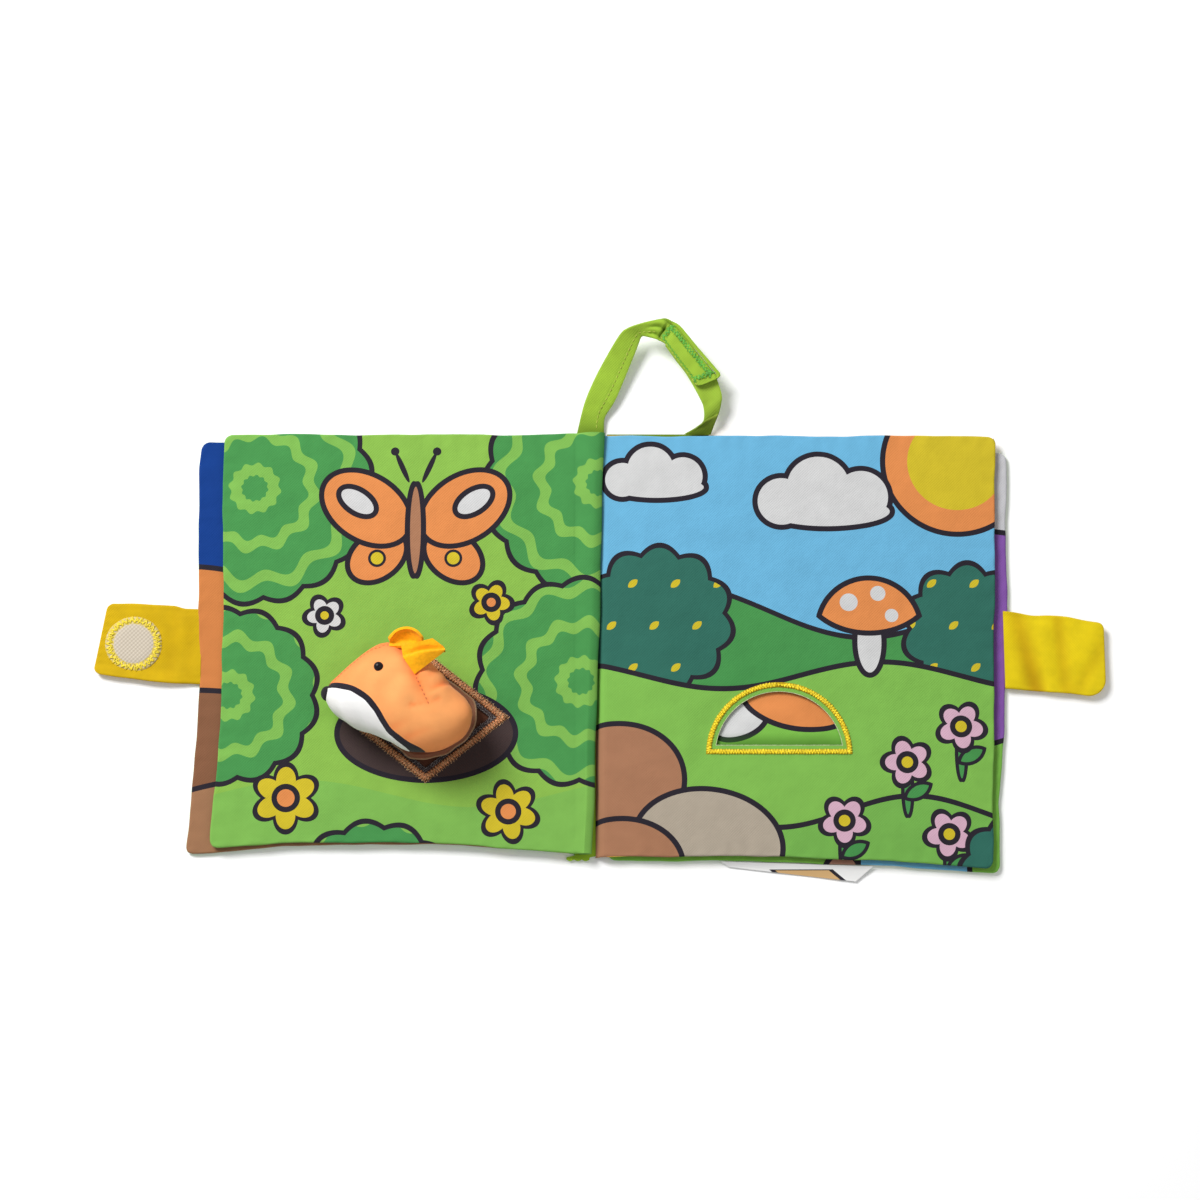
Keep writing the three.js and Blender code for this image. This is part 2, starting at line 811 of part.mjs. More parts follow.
// A tab's board, from the cover's fore-edge outwards, at the height of the cover's seam
function tabBoard(side, cover, sizes) {
  const innerHead = cover.outerAt(sizes.headInner) + touchGap;
  const innerFoot = cover.outerAt(sizes.footInner) + touchGap;
  return board({
    side,
    innerHead,
    innerFoot,
    reachHead: innerHead + sizes.reachHead,
    reachFoot: innerFoot + sizes.reachFoot,
    headInner: sizes.headInner,
    headOuter: sizes.headOuter,
    footInner: sizes.footInner,
    footOuter: sizes.footOuter,
    crown: tabCrown,
    margin: tabMargin,
    cells: tabCells,
  });
}

// A group that tips about the cover's fore-edge, so that what it holds slopes outwards
function tipped(side, cover, tilt, ...pieces) {
  const edge = side * cover.outerAt(0);
  const pivot = new THREE.Group();
  pivot.position.set(edge, 0, coverMiddle);
  pivot.rotation.y = -side * tilt;
  const inside = new THREE.Group();
  inside.position.x = -edge;
  inside.add(...pieces);
  pivot.add(inside);
  return pivot;
}

function disc(radius, low, thickness) {
  return prism(circle(0, 0, radius), low, low + thickness, circleSegments);
}

function discRing(low) {
  const shape = ring(0, 0, discRadius, discRadius - discStitchWidth);
  return prism(shape, low, low + discStitchThickness, circleSegments);
}

function leftTabGroup() {
  const tab = tabBoard(-1, frontCover, {
    reachHead: leftTabReachHead,
    reachFoot: leftTabReachFoot,
    headInner: leftTabHeadInner,
    headOuter: leftTabHeadOuter,
    footInner: leftTabFootInner,
    footOuter: leftTabFootOuter,
  });
  const discs = new THREE.Group();
  const reach = (leftTabReachHead + leftTabReachFoot) / 2;
  discs.position.set(leftDiscInset + discRadius - reach - frontCover.outerAt(0), leftDiscY, 0);
  const onTop = tabCrown / 2 + touchGap;
  discs.add(piece('left_tab_hook_disc', disc(discRadius, onTop, discThickness), colours.hook, 0.9));
  discs.add(piece('left_tab_disc_stitching', discRing(onTop + discThickness + touchGap), colours.yellow));
  return tipped(-1, frontCover, leftTabTilt, piece('left_tab_strap', tab.solid(), colours.yellow), discs);
}

function rightTabGroup() {
  const tab = tabBoard(1, backCover, {
    reachHead: rightTabReachHead,
    reachFoot: rightTabReachFoot,
    headInner: rightTabHeadInner,
    headOuter: rightTabHeadOuter,
    footInner: rightTabFootInner,
    footOuter: rightTabFootOuter,
  });
  const discs = new THREE.Group();
  const middle = (rightTabHeadOuter + rightTabFootOuter) / 2;
  discs.position.set(backCover.outerAt(0) + rightTabReachHead - rightDiscInset - discRadius, middle, 0);
  const discLow = -tabCrown / 2 - touchGap - discThickness;
  discs.add(piece('right_tab_loop_disc', disc(discRadius, discLow, discThickness), colours.hook, 0.9));
  const ringLow = discLow - touchGap - discStitchThickness;
  discs.add(piece('right_tab_disc_stitching', discRing(ringLow), colours.yellow));
  return tipped(1, backCover, rightTabTilt, piece('right_tab_strap', tab.solid(), colours.yellow), discs);
}

// Handle

// Points of a strap's edge, as shares of the loop's spread, rise and lift from the hinge
function strapEdge(pointShares) {
  return pointShares.map(([spreadShare, riseShare, liftShare]) => new THREE.Vector3(
    spreadShare * handleSpread,
    riseShare * handleRise,
    liftShare * handleLift,
  ));
}

function handleGroup() {
  const group = new THREE.Group();
  group.position.y = handleHinge;

  const longOuter = strapEdge([
    [-0.099, 0, 0.1], [-0.047, 0.2, 0.21], [0.036, 0.43, 0.33], [0.118, 0.65, 0.48],
    [0.19, 0.82, 0.68], [0.28, 0.92, 0.86], [0.41, 0.965, 1], [0.57, 0.972, 1.04],
  ]);
  const longInner = strapEdge([
    [0.103, 0, 0.1], [0.128, 0.14, 0.19], [0.208, 0.36, 0.28], [0.295, 0.56, 0.38],
    [0.36, 0.73, 0.5], [0.42, 0.81, 0.62], [0.475, 0.83, 0.76], [0.525, 0.82, 0.88],
  ]);
  const longStrap = strip(longInner, longOuter, strapThickness, { steps: 18 });
  group.add(piece('handle_long_strap', longStrap, colours.lime));

  const patchOuter = strapEdge([
    [0.59, 0.965, 1.04], [0.68, 0.9, 1.04], [0.792, 0.745, 1.02], [0.896, 0.61, 0.98], [0.985, 0.48, 0.94],
  ]);
  const patchInner = strapEdge([
    [0.52, 0.8, 0.9], [0.552, 0.74, 0.94], [0.635, 0.63, 0.97], [0.715, 0.51, 0.95], [0.8, 0.37, 0.92],
  ]);
  const tipSteps = 8;
  const layerStep = (upper, lower) => upper / 2 + touchGap + lower / 2;
  const hookOffset = -layerStep(strapThickness, patchThickness);
  const loopOffset = hookOffset - layerStep(patchThickness, patchThickness);
  const shortOffset = loopOffset - layerStep(patchThickness, strapThickness);
  const tip = strip(patchInner, patchOuter, strapThickness, { steps: tipSteps, from: tipStartShare });
  const patchRun = { steps: tipSteps, from: patchStartShare, to: patchEndShare, inset: patchInset };
  const hook = strip(patchInner, patchOuter, patchThickness, { ...patchRun, offset: hookOffset });
  const loop = strip(patchInner, patchOuter, patchThickness, { ...patchRun, offset: loopOffset });
  group.add(piece('handle_tip_strap', tip, colours.lime));
  group.add(piece('handle_hook_patch', hook, colours.lime, 1));
  group.add(piece('handle_loop_patch', loop, colours.lime, 1));

  // The short strap starts under the second leaf's head edge and curls up to the patch
  const drop = -shortOffset / handleLift;
  const shortOuter = strapEdge([
    [0.883, 0, 0.06], [0.93, 0.12, 0.24], [0.985, 0.25, 0.46], [0.995, 0.38, 0.62],
  ]);
  const shortInner = strapEdge([
    [0.703, 0, 0.06], [0.77, 0.07, 0.3], [0.83, 0.15, 0.52], [0.83, 0.26, 0.65],
  ]);
  for (const [edge, patch] of [[shortOuter, patchOuter], [shortInner, patchInner]]) {
    for (const index of [3, 2, 1]) {
      const point = patch[index].clone();
      point.z -= drop * handleLift;
      edge.push(point);
    }
  }
  const shortStrap = strip(shortOuter, shortInner, strapThickness, { steps: 22 });
  group.add(piece('handle_short_strap', shortStrap, colours.lime));
  return group;
}

// The hidden run of the strap, flat on the table under the back cover's head seam
function handleAnchor() {
  const low = touchGap / 2 + anchorThickness / 2;
  const start = spineWidth / 2 + touchGap;
  const head = handleHinge - touchGap;
  const edge = (y) => [
    new THREE.Vector3(start, y, low),
    new THREE.Vector3((start + anchorReach) / 2, y, low),
    new THREE.Vector3(anchorReach + anchorWidth / 2, y, low),
  ];
  const solid = strip(edge(head - anchorWidth), edge(head), anchorThickness, { steps: 4 });
  return piece('handle_anchor_strap', solid, colours.lime);
}

// Seam tag

function seamTag() {
  const seamLeft = backCover.footAt(tagHeadLeft);
  const seamRight = backCover.footAt(tagHeadRight);
  const edgeY = (x) => {
    const share = (x - tagHeadLeft) / (tagHeadRight - tagHeadLeft);
    return seamLeft + share * (seamRight - seamLeft) - touchGap;
  };
  const low = clothThickness;
  const head = [tagHeadLeft, (tagHeadLeft + tagHeadRight) / 2, tagHeadRight];
  const foot = [tagFootLeft, (tagFootLeft + tagFootRight) / 2, tagFootRight];
  const drop = [tagDropLeft, (tagDropLeft + tagDropRight) / 2, tagDropRight];
  const headEdge = head.map((x) => new THREE.Vector3(x, edgeY(x), coverMiddle));
  const footEdge = foot.map((x, index) => new THREE.Vector3(x, edgeY(x) - drop[index], low));
  return piece('seam_tag', strip(footEdge, headEdge, tagThickness, { steps: 8 }), colours.white, 0.5);
}

const book = new THREE.Group();
book.add(spineOuterStrip());
book.add(spineBindingTape());
book.add(handleAnchor());
book.add(frontCoverGroup());
book.add(backCoverGroup());
book.add(leafGroup('first_leaf', firstLeaf, diamondPoints, 'diamond_hole_rim', diamondRimWidth,
  colours.leafGreen, colours.copper));
book.add(firstLeafRoll());
book.add(leafGroup('second_leaf', secondLeaf, moonPoints, 'half_moon_rim', moonRimWidth,
  colours.sky, colours.yellow));
book.add(secondLeafRoll());
book.add(puppet());
book.add(leftTabGroup());
book.add(rightTabGroup());
book.add(handleGroup());
book.add(seamTag());

export default book;
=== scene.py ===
# A crinkle cloth book for babies, lying open: the looks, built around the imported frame.
# Metres, +X to the right of the open book, +Y to its head, +Z up.
# Left lies the front cover with the first leaf on it, right the back cover with the second.

import math

import bmesh
import bpy
import numpy as np
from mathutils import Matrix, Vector


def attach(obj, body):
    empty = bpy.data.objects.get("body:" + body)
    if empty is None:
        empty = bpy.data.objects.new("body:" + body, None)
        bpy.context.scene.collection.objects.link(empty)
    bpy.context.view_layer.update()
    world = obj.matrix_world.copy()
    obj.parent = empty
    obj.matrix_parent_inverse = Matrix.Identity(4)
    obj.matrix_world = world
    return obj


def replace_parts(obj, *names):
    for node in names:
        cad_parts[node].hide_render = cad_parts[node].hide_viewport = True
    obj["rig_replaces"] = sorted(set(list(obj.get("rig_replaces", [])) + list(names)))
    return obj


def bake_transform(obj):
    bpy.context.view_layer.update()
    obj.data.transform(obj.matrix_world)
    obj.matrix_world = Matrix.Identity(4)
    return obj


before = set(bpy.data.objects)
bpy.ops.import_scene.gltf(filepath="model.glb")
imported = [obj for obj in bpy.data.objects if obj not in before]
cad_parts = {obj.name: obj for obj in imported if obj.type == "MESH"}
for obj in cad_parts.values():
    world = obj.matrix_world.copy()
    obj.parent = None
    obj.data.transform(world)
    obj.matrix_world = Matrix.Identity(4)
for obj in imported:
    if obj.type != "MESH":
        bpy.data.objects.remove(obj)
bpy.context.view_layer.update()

MM = 0.001


# Camera and light

VIEW_ELEVATION = math.radians(78.5)
VIEW_DISTANCE = 1.8
VIEW_FOCAL = 121.2
VIEW_TARGET = Vector((4.4, 21.6, 3.0)) * MM


def link(name, data):
    made = bpy.data.objects.new(name, data)
    bpy.context.scene.collection.objects.link(made)
    return made


def place_camera():
    camera = link("camera", bpy.data.cameras.new("camera"))
    camera.data.lens = VIEW_FOCAL
    camera.data.sensor_width = 36
    camera.data.clip_start = 0.1
    away = Vector((0, -math.cos(VIEW_ELEVATION), math.sin(VIEW_ELEVATION)))
    camera.location = VIEW_TARGET + VIEW_DISTANCE * away
    camera.rotation_euler = (math.pi / 2 - VIEW_ELEVATION, 0, 0)
    bpy.context.scene.camera = camera


def soft_light(name, place, size, watts):
    data = bpy.data.lights.new(name, "AREA")
    data.shape = "DISK"
    data.size = size
    data.energy = watts
    lamp = link(name, data)
    lamp.location = place
    lamp.rotation_euler = (VIEW_TARGET - Vector(place)).to_track_quat("-Z", "Y").to_euler()


def sky_light(strength):
    world = bpy.data.worlds.new("studio")
    world.use_nodes = True
    world.node_tree.nodes["Background"].inputs["Color"].default_value = (1, 1, 1, 1)
    world.node_tree.nodes["Background"].inputs["Strength"].default_value = strength
    bpy.context.scene.world = world
    bpy.context.scene.view_settings.view_transform = "Standard"


place_camera()
soft_light("key_light", (-0.95, 0.95, 1.35), 0.9, 41.0)
soft_light("fill_light", (0.9, -0.4, 1.7), 1.6, 4.5)
sky_light(0.34)


# Finishes

# The share of a hex code's light that gives its colour back under these lamps
DYE = 0.77


def ink(code):
    """The linear colour of cloth that looks like a six-digit hex code in this light."""
    shares = [int(code[at:at + 2], 16) / 255 for at in (0, 2, 4)]
    linear = [s / 12.92 if s <= 0.04045 else ((s + 0.055) / 1.055) ** 2.4 for s in shares]
    return (*(DYE * c for c in linear), 1.0)


def add_node(tree, kind, values=None, settings=None):
    """Adds a node to a tree: its settings first, then the values or links of its sockets."""
    made = tree.nodes.new(kind)
    for name, setting in (settings or {}).items():
        setattr(made, name, setting)
    for name, value in (values or {}).items():
        if isinstance(value, bpy.types.NodeSocket):
            tree.links.new(value, made.inputs[name])
        else:
            made.inputs[name].default_value = value
    return made.outputs


def operator(operation, swapped=False):
    """A method that adds the Math node of that name."""
    def method(self, *other):
        values = (*other, self) if swapped else (self, *other)
        return self.finish.math(operation, *values)
    return method


class Value:
    """A number that varies over a surface. Python's operators on it add Math nodes."""

    def __init__(self, finish, socket):
        self.finish = finish
        self.socket = socket

    def __neg__(self):
        return self * -1.0

    __add__ = __radd__ = operator("ADD")
    __sub__ = operator("SUBTRACT")
    __rsub__ = operator("SUBTRACT", swapped=True)
    __mul__ = __rmul__ = operator("MULTIPLY")
    __truediv__ = operator("DIVIDE")
    __rtruediv__ = operator("DIVIDE", swapped=True)
    __mod__ = operator("FLOORED_MODULO")
    __lt__ = operator("LESS_THAN")
    __gt__ = operator("GREATER_THAN")
    __and__ = operator("MAXIMUM")
    __or__ = operator("MINIMUM")
    __abs__ = operator("ABSOLUTE")
    sin = operator("SINE")
    floor = operator("FLOOR")


class Place(Value):
    """A place on a print, in millimetres."""

    def to(self, x, y):
        """Distance to a point."""
        values = {0: self, 1: (x, y, 0)}
        return self.finish.node("ShaderNodeVectorMath", values, {"operation": "DISTANCE"}, output="Value")

    def seen_from(self, x, y, turn=0.0, wide=1.0, high=1.0):
        """The same place from another origin, turned by degrees and measured in other units."""
        rotation = (0, 0, math.radians(turn))
        values = {"Vector": self, "Location": (x, y, 0), "Rotation": rotation, "Scale": (wide, high, 1)}
        moved = self.finish.node("ShaderNodeMapping", values, {"vector_type": "TEXTURE"})
        return Place(self.finish, moved.socket)

    def length(self):
        return self.to(0, 0)

    def split(self):
        """The x and y of a place."""
        x = self.finish.node("ShaderNodeSeparateXYZ", {0: self}, output="X")
        return x, Value(self.finish, x.socket.node.outputs["Y"])


class Finish:
    """A material in the making: one Principled shader and the nodes that feed it."""

    def __init__(self, name, roughness=0.85, sheen=0.0):
        self.material = bpy.data.materials.new(name)
        self.material.use_nodes = True
        self.tree = self.material.node_tree
        self.shader = self.tree.nodes["Principled BSDF"]
        self.shader.inputs["Roughness"].default_value = roughness
        self.shader.inputs["Sheen Weight"].default_value = sheen
        self.shader.inputs["Specular IOR Level"].default_value = 0.12
        place = self.node("ShaderNodeTexCoord", output="Object")
        place = self.node("ShaderNodeVectorMath", {0: place, "Scale": 1 / MM}, {"operation": "SCALE"})
        self.solid_place = Place(self, place.socket)
        flat = self.node("ShaderNodeVectorMath", {0: place, 1: (1, 1, 0)}, {"operation": "MULTIPLY"})
        self.place = Place(self, flat.socket)

    def node(self, kind, values=None, settings=None, output=0):
        sockets = {name: getattr(value, "socket", value) for name, value in (values or {}).items()}
        return Value(self, add_node(self.tree, kind, sockets, settings)[output])

    def math(self, operation, *values):
        return self.node("ShaderNodeMath", dict(enumerate(values)), {"operation": operation})

    def mix(self, under, over, share):
        """One colour laid over another where share is 1."""
        return self.node("ShaderNodeMix", {0: share, 6: under, 7: over}, {"data_type": "RGBA"}, output=2)

    def painted(self, name):
        """A number that was painted on the mesh."""
        return self.node("ShaderNodeAttribute", None, {"attribute_name": name}, output="Fac")

    def noise(self, size, detail=2.0):
        """Soft noise from 0 to 1, with lumps of a size in millimetres."""
        values = {"Vector": self.solid_place, "Scale": 1 / size, "Detail": detail}
        return self.node("ShaderNodeTexNoise", values)

    def stretch(self, value, low, high, to_low=0.0, to_high=1.0):
        values = {"Value": value, 1: low, 2: high, 3: to_low, 4: to_high}
        return self.node("ShaderNodeMapRange", values, {"clamp": True})

    def colour(self, value):
        self.fill("Base Color", value)

    def fill(self, socket, value):
        if isinstance(value, Value):
            self.tree.links.new(value.socket, self.shader.inputs[socket])
        else:
            self.shader.inputs[socket].default_value = value

    def relief(self, height, depth):
        """Bumps from a height of 0 to 1, that deep in millimetres."""
        values = {"Height": height, "Strength": 1.0, "Distance": depth * MM}
        self.fill("Normal", self.node("ShaderNodeBump", values, output="Normal"))

    def worn(self, colour, amount=0.1, size=9.0):
        """A colour with the slight unevenness of dyed cloth."""
        value = self.stretch(self.noise(size), 0.3, 0.7, 1 - amount, 1 + amount)
        return self.node("ShaderNodeHueSaturation", {"Color": colour, "Value": value})


WEAVE_PITCH = 0.62


def weave(finish, pitch=WEAVE_PITCH):
    """Threads of a plain weave, each over one and under the next."""
    x, y = finish.solid_place.split()
    turn = math.tau / pitch / 2
    over = (x * turn).sin() * (y * turn).sin()
    return finish.stretch(over, -1.0, 1.0)


def cloth_relief(finish, depth=0.09, creases=0.35, pitch=WEAVE_PITCH, size=5.5, detail=4.0):
    """Weave, and fine creases such as crinkle film presses into the cloth above it."""
    whole = depth + creases
    crease = finish.noise(size, detail) * (creases / whole)
    finish.relief(weave(finish, pitch) * (depth / whole) + crease, whole)


# Prints: shapes laid one on another, each with a dark outline

INK = ink("2b2630")
LINE = 2.4


class Print:
    """A printed cloth's colour, from the ground up."""

    def __init__(self, name, ground):
        self.finish = Finish(name, roughness=0.75, sheen=0.04)
        self.place = self.finish.place
        self.colour = ground

    def lay(self, distance, fill, line=LINE):
        """A shape is where its distance is below 0, and its outline runs along 0."""
        if line:
            self.colour = self.finish.mix(self.colour, INK, distance < line / 2)
        self.colour = self.finish.mix(self.colour, fill, distance < -line / 2)

    def done(self):
        self.finish.colour(self.finish.worn(self.colour, amount=0.035))
        cloth_relief(self.finish)
        return self.finish.material


def disc(place, x, y, radius):
    return place.to(x, y) - radius


def oval(place, x, y, wide, high, turn=0.0):
    """An oval of two half widths."""
    near = place.seen_from(x, y, turn, wide, high).length()
    steep = place.seen_from(x, y, turn, wide ** 2, high ** 2).length()
    return near * (near - 1) / steep


def blade(place, x, y, long, wide, turn=0.0):
    """A leaf with two pointed ends, of a half length and a half width."""
    radius = (long ** 2 + wide ** 2) / (2 * wide)
    seen = place.seen_from(x, y, turn)
    return (seen.to(0, radius - wide) & seen.to(0, wide - radius)) - radius


def bloom(place, x, y, radius, petals, depth, turn=0.0):
    """A round shape with rounded lobes: a flower, or the crown of a bush."""
    seen = place.seen_from(x, y, turn)
    across, up = seen.split()
    angle = place.finish.math("ARCTAN2", up, across)
    lobe = abs((angle * (petals / 2)).sin())
    return seen.length() - (lobe * depth + (radius - depth))


def rolling(place, level, rise, stretch, shift=0.0):
    """Everything under a rolling line."""
    across, up = place.split()
    return up - ((across * (math.tau / stretch) + shift).sin() * rise + level)


def cloud(place, x, y, size):
    puffs = disc(place, x - 0.62 * size, y, 0.36 * size)
    puffs = puffs | disc(place, x - 0.12 * size, y + 0.2 * size, 0.46 * size)
    puffs = puffs | disc(place, x + 0.46 * size, y + 0.06 * size, 0.4 * size)
    return puffs | oval(place, x, y - 0.14 * size, 0.88 * size, 0.24 * size)


def streaks(place, x, y, cell, wide, sway):
    """Wavy bands round a point, like the rows of a clipped bush."""
    seen = place.seen_from(x, y)
    across, up = seen.split()
    wave = (place.finish.math("ARCTAN2", up, across) * 12.0).sin() * sway
    return abs((seen.length() * (wave * 0.05 + 1.0)) % cell - cell / 2) - wide


def flecks(place, cell, long, wide, turn):
    """Small leaves in offset rows."""
    finish = place.finish
    across, up = place.split()
    row = (up / cell).floor()
    slid = across + (row % 2.0) * (cell / 2)
    inner = finish.node("ShaderNodeCombineXYZ", {"X": slid % cell - cell / 2, "Y": up % cell - cell / 2})
    return blade(Place(finish, inner.socket), 0, 0, long, wide, turn)


def flower(cloth, x, y, radius, petals, fill, heart, turn=0.0):
    cloth.lay(bloom(cloth.place, x, y, radius, petals, 0.34 * radius, turn), fill)
    cloth.lay(disc(cloth.place, x, y, 0.34 * radius), heart)


def stem(cloth, x, y, long, turn, fill):
    cloth.lay(oval(cloth.place, x, y, long, 2.2, turn), fill, line=1.6)
    cloth.lay(blade(cloth.place, x + 4.5, y - 1, 6.5, 3.2, 28), fill, line=1.6)


GREEN = ink("4c9c52")
LIGHT_GREEN = ink("86c258")
GRASS = ink("92c552")
LAWN = ink("88c556")
LEMON = ink("dcc62e")
ORANGE = ink("ee9554")
WHITE = ink("dddddd")
BROWN = ink("b37f5f")
DARK_BROWN = ink("4a3b3a")
SKY = ink("72bee6")
TEAL = ink("347364")
TAUPE = ink("bcaf9d")
PINK = ink("e3b8cd")
PURPLE = ink("8d5cb2")
ROYAL = ink("0b3f90")


def first_leaf_print():
    """Clipped bushes, a butterfly and yellow flowers on a light lawn."""
    cloth = Print("first_leaf_print", GRASS)
    place = cloth.place
    cloth.lay(rolling(place, -66, 6, 150, 0.6), LIGHT_GREEN, line=0)
    for x, y, radius, lobes, turn in (
        (-150, 72, 53, 17, 0), (4, 74, 52, 16, 10), (-160, -22, 40, 13, 0), (-4, -16, 47, 15, 5),
        (-95, -118, 40, 13, 0),
    ):
        leafage = cloth.finish.mix(GREEN, LIGHT_GREEN, streaks(place, x, y, 17.0, 2.7, 1.2) < 0)
        cloth.lay(bloom(place, x, y, radius, lobes, 3.0, turn), leafage)
    cloth.lay(oval(place, -72.4, -39, 39.5, 21), DARK_BROWN)
    for way in (-1, 1):
        cloth.lay(oval(place, -78 + way * 17, 41, 14.5, 10.5, -way * 38), ORANGE)
        cloth.lay(oval(place, -78 + way * 22, 63, 22, 15, way * 34), ORANGE)
        cloth.lay(oval(place, -78 + way * 26, 66, 9.5, 5.4, way * 34), WHITE)
        cloth.lay(disc(place, -78 + way * 17, 40, 3.4), LEMON, line=1.2)
        cloth.lay(oval(place, -78 + way * 6, 81.5, 7.5, 1.2, 90 - way * 24), INK, line=0)
        cloth.lay(disc(place, -78 + way * 9.4, 89, 1.9), INK, line=0)
    cloth.lay(oval(place, -78, 53, 3.6, 21), BROWN)
    flower(cloth, -134, -68, 15, 6, LEMON, ORANGE)
    flower(cloth, -36, -74, 13.5, 6, LEMON, ORANGE, 12)
    flower(cloth, -44, 20, 9.5, 5, LEMON, ORANGE, 30)
    flower(cloth, -118, 14, 9, 5, WHITE, LEMON, 8)
    return cloth.done()


def second_leaf_print():
    """Sun and clouds over hills, with a toadstool, boulders and pink flowers."""
    cloth = Print("second_leaf_print", SKY)
    place = cloth.place
    cloth.lay(disc(place, 164, 84, 33), ORANGE)
    cloth.lay(disc(place, 164, 84, 22), LEMON, line=0)
    cloth.lay(cloud(place, 106, 66, 33), WHITE)
    cloth.lay(cloud(place, 30, 76, 25), WHITE)
    cloth.lay(rolling(place, 16, 12, 170, 0.2), GREEN)
    sprinkle = cloth.finish.mix(TEAL, LEMON, flecks(place, 19, 2.7, 1.5, 40) < 0)
    cloth.lay(bloom(place, 30, 12, 34, 11, 4, 6), sprinkle)
    cloth.lay(bloom(place, 168, 8, 30, 10, 4), sprinkle)
    cloth.lay(rolling(place, -13, 6, 140, 2.1), LAWN)
    cloth.lay(oval(place, 124, 2, 6.5, 15), WHITE)
    cloth.lay(disc(place, 124, 8, 23) & oval(place, 124, 30, 30, 24), ORANGE)
    for x, y, size in ((115, 20, 4), (128, 24, 3.4), (134, 14, 3)):
        cloth.lay(disc(place, x, y, size), WHITE, line=0)
    cloth.lay(rolling(place, -74, 7, 120, 0.4), ink("7dbd55"))
    cloth.lay(oval(place, 10, -62, 32, 27, 15), BROWN)
    cloth.lay(oval(place, 52, -88, 33, 24, -8), TAUPE)
    cloth.lay(oval(place, 14, -98, 27, 21), BROWN)
    for x, y, turn in ((140, -52, 0), (164, -36, 25), (158, -84, 10), (112, -78, 18)):
        stem(cloth, x, y - 12, 12, 90, GREEN)
        flower(cloth, x, y, 11, 5, PINK, LEMON, turn)
    cloth.lay(bloom(place, 186, -100, 24, 9, 3), TEAL)
    return cloth.done()


def front_cover_inside_print():
    """Blue sky, an orange hill and brown earth."""
    cloth = Print("front_cover_inside_print", ROYAL)
    place = cloth.place
    cloth.lay(oval(place, -180, 0, 58, 37), ink("d98649"))
    cloth.lay(rolling(place, -24, 5, 190, 1.2), ink("8e6044"))
    cloth.lay(rolling(place, -66, 6, 130, 2.6), ink("a87a58"))
    cloth.lay(disc(place, -72.6, -31.8, 36), ink("6d4230"), line=0)
    return cloth.done()


def back_cover_inside_print():
    """A pale sky, purple hills and a light lawn, with painted shade on the lawn behind the half-moon window,
    darkest towards the window's flat edge.
    """
    cloth = Print("back_cover_inside_print", ink("d4d4d8"))
    place = cloth.place
    cloth.lay(rolling(place, 50, 5, 210, 3.4), PURPLE)
    cloth.lay(rolling(place, -30, 16, 200, 6.0), ink("86ca52"))
    cloth.lay(oval(place, 66, -33, 13, 8, 20), WHITE)
    cloth.lay(oval(place, 93, -22, 26, 15, -8), ORANGE)
    cloth.lay(oval(place, 111, -101, 8, 9), ink("b98a76"))
    across, up = place.split()
    cloth.lay(abs(across - 142.5) - 24.5 & up + 91.0, SKY)
    # Painted shade: the lawn under the half-moon window darkens towards the window's flat edge, where the
    # page above shades it.
    behind_window = (abs(across - 83.6) < 31.0) * (up > -49.0)
    shade = cloth.finish.stretch(up, -47.5, -38.5, 0.9, 0.0) * behind_window
    cloth.colour = cloth.finish.mix(cloth.colour, ink("2f6a12"), shade)
    return cloth.done()


def dotted_print(name, ground, dots, cell, size):
    """The plain dotted cloth of the sides that the open book hides."""
    cloth = Print(name, ground)
    cloth.lay(flecks(cloth.place, cell, size, 0.99 * size, 0), dots, line=0)
    return cloth.done()


def plain_cloth(name, colour, depth=0.12, creases=0.25, pitch=WEAVE_PITCH):
    finish = Finish(name, roughness=0.82, sheen=0.05)
    threads = weave(finish, pitch)
    shade = finish.mix(colour, tuple(0.82 * c for c in colour[:3]) + (1,), threads * 0.35)
    finish.colour(finish.worn(shade, amount=0.07, size=6.0))
    cloth_relief(finish, depth, creases, pitch, 4.0, 3.0)
    return finish.material


def strap_cloth(name, colour, dark, back=None, shaded_near_spine=True):
    """The straps' cloth, with painted shade in its folds and near the spine's head where it is sewn in, its
    back of another green.
    """
    finish = Finish(name, roughness=0.75, sheen=0.05)
    up = finish.solid_place.split()[1]
    if back:
        colour = finish.mix(colour, back, finish.painted("underside"))
    # Painted shade: the painted shade number darkens folds and hollows, and near the spine the cloth darkens
    # below y 109 mm, fully below 97 mm.
    deep = finish.painted("shade")
    if shaded_near_spine:
        deep = deep & finish.stretch(up, 97.0, 109.0, 0.95, 0.0)
    finish.colour(finish.worn(finish.mix(colour, dark, deep), amount=0.06, size=6.0))
    finish.relief(weave(finish) * 0.35 + finish.noise(4.0, 3.0) * 0.65, 0.32)
    return finish.material


def thread(name, colour, spread=0.22):
    """Shiny embroidery thread: fine strands, and a slight change from stitch to stitch."""
    finish = Finish(name, roughness=0.45, sheen=0.1)
    finish.colour(finish.worn(colour, amount=spread, size=0.7))
    finish.fill("Specular IOR Level", 0.4)
    finish.relief(finish.noise(0.3, 2.0), 0.06)
    return finish.material


def puppet_cloth(name, pale, deep, lined=False):
    """Fine brushed cloth with painted shade, deeper in colour lower down its sides and in its creases, with a
    dark line along its lower seam.
    """
    finish = Finish(name, roughness=0.8, sheen=0.1)
    height = finish.node("ShaderNodeSeparateXYZ", {0: finish.solid_place}, output="Z")
    # Painted shade: the pale colour gives way to the deep one lower down the head and where the painted
    # crease number is high.
    shade = finish.mix(deep, pale, finish.stretch(height, 21.5, 39.5) - finish.painted("crease_shade") * 0.9)
    if lined:
        shade = finish.mix(shade, INK, finish.painted("from_chin_line") < LINE)
    finish.colour(finish.worn(shade, amount=0.035, size=7.0))
    finish.relief(weave(finish, 0.5) * 0.2 + finish.noise(3.6, 3.0) * 0.8, 0.3)
    return finish.material


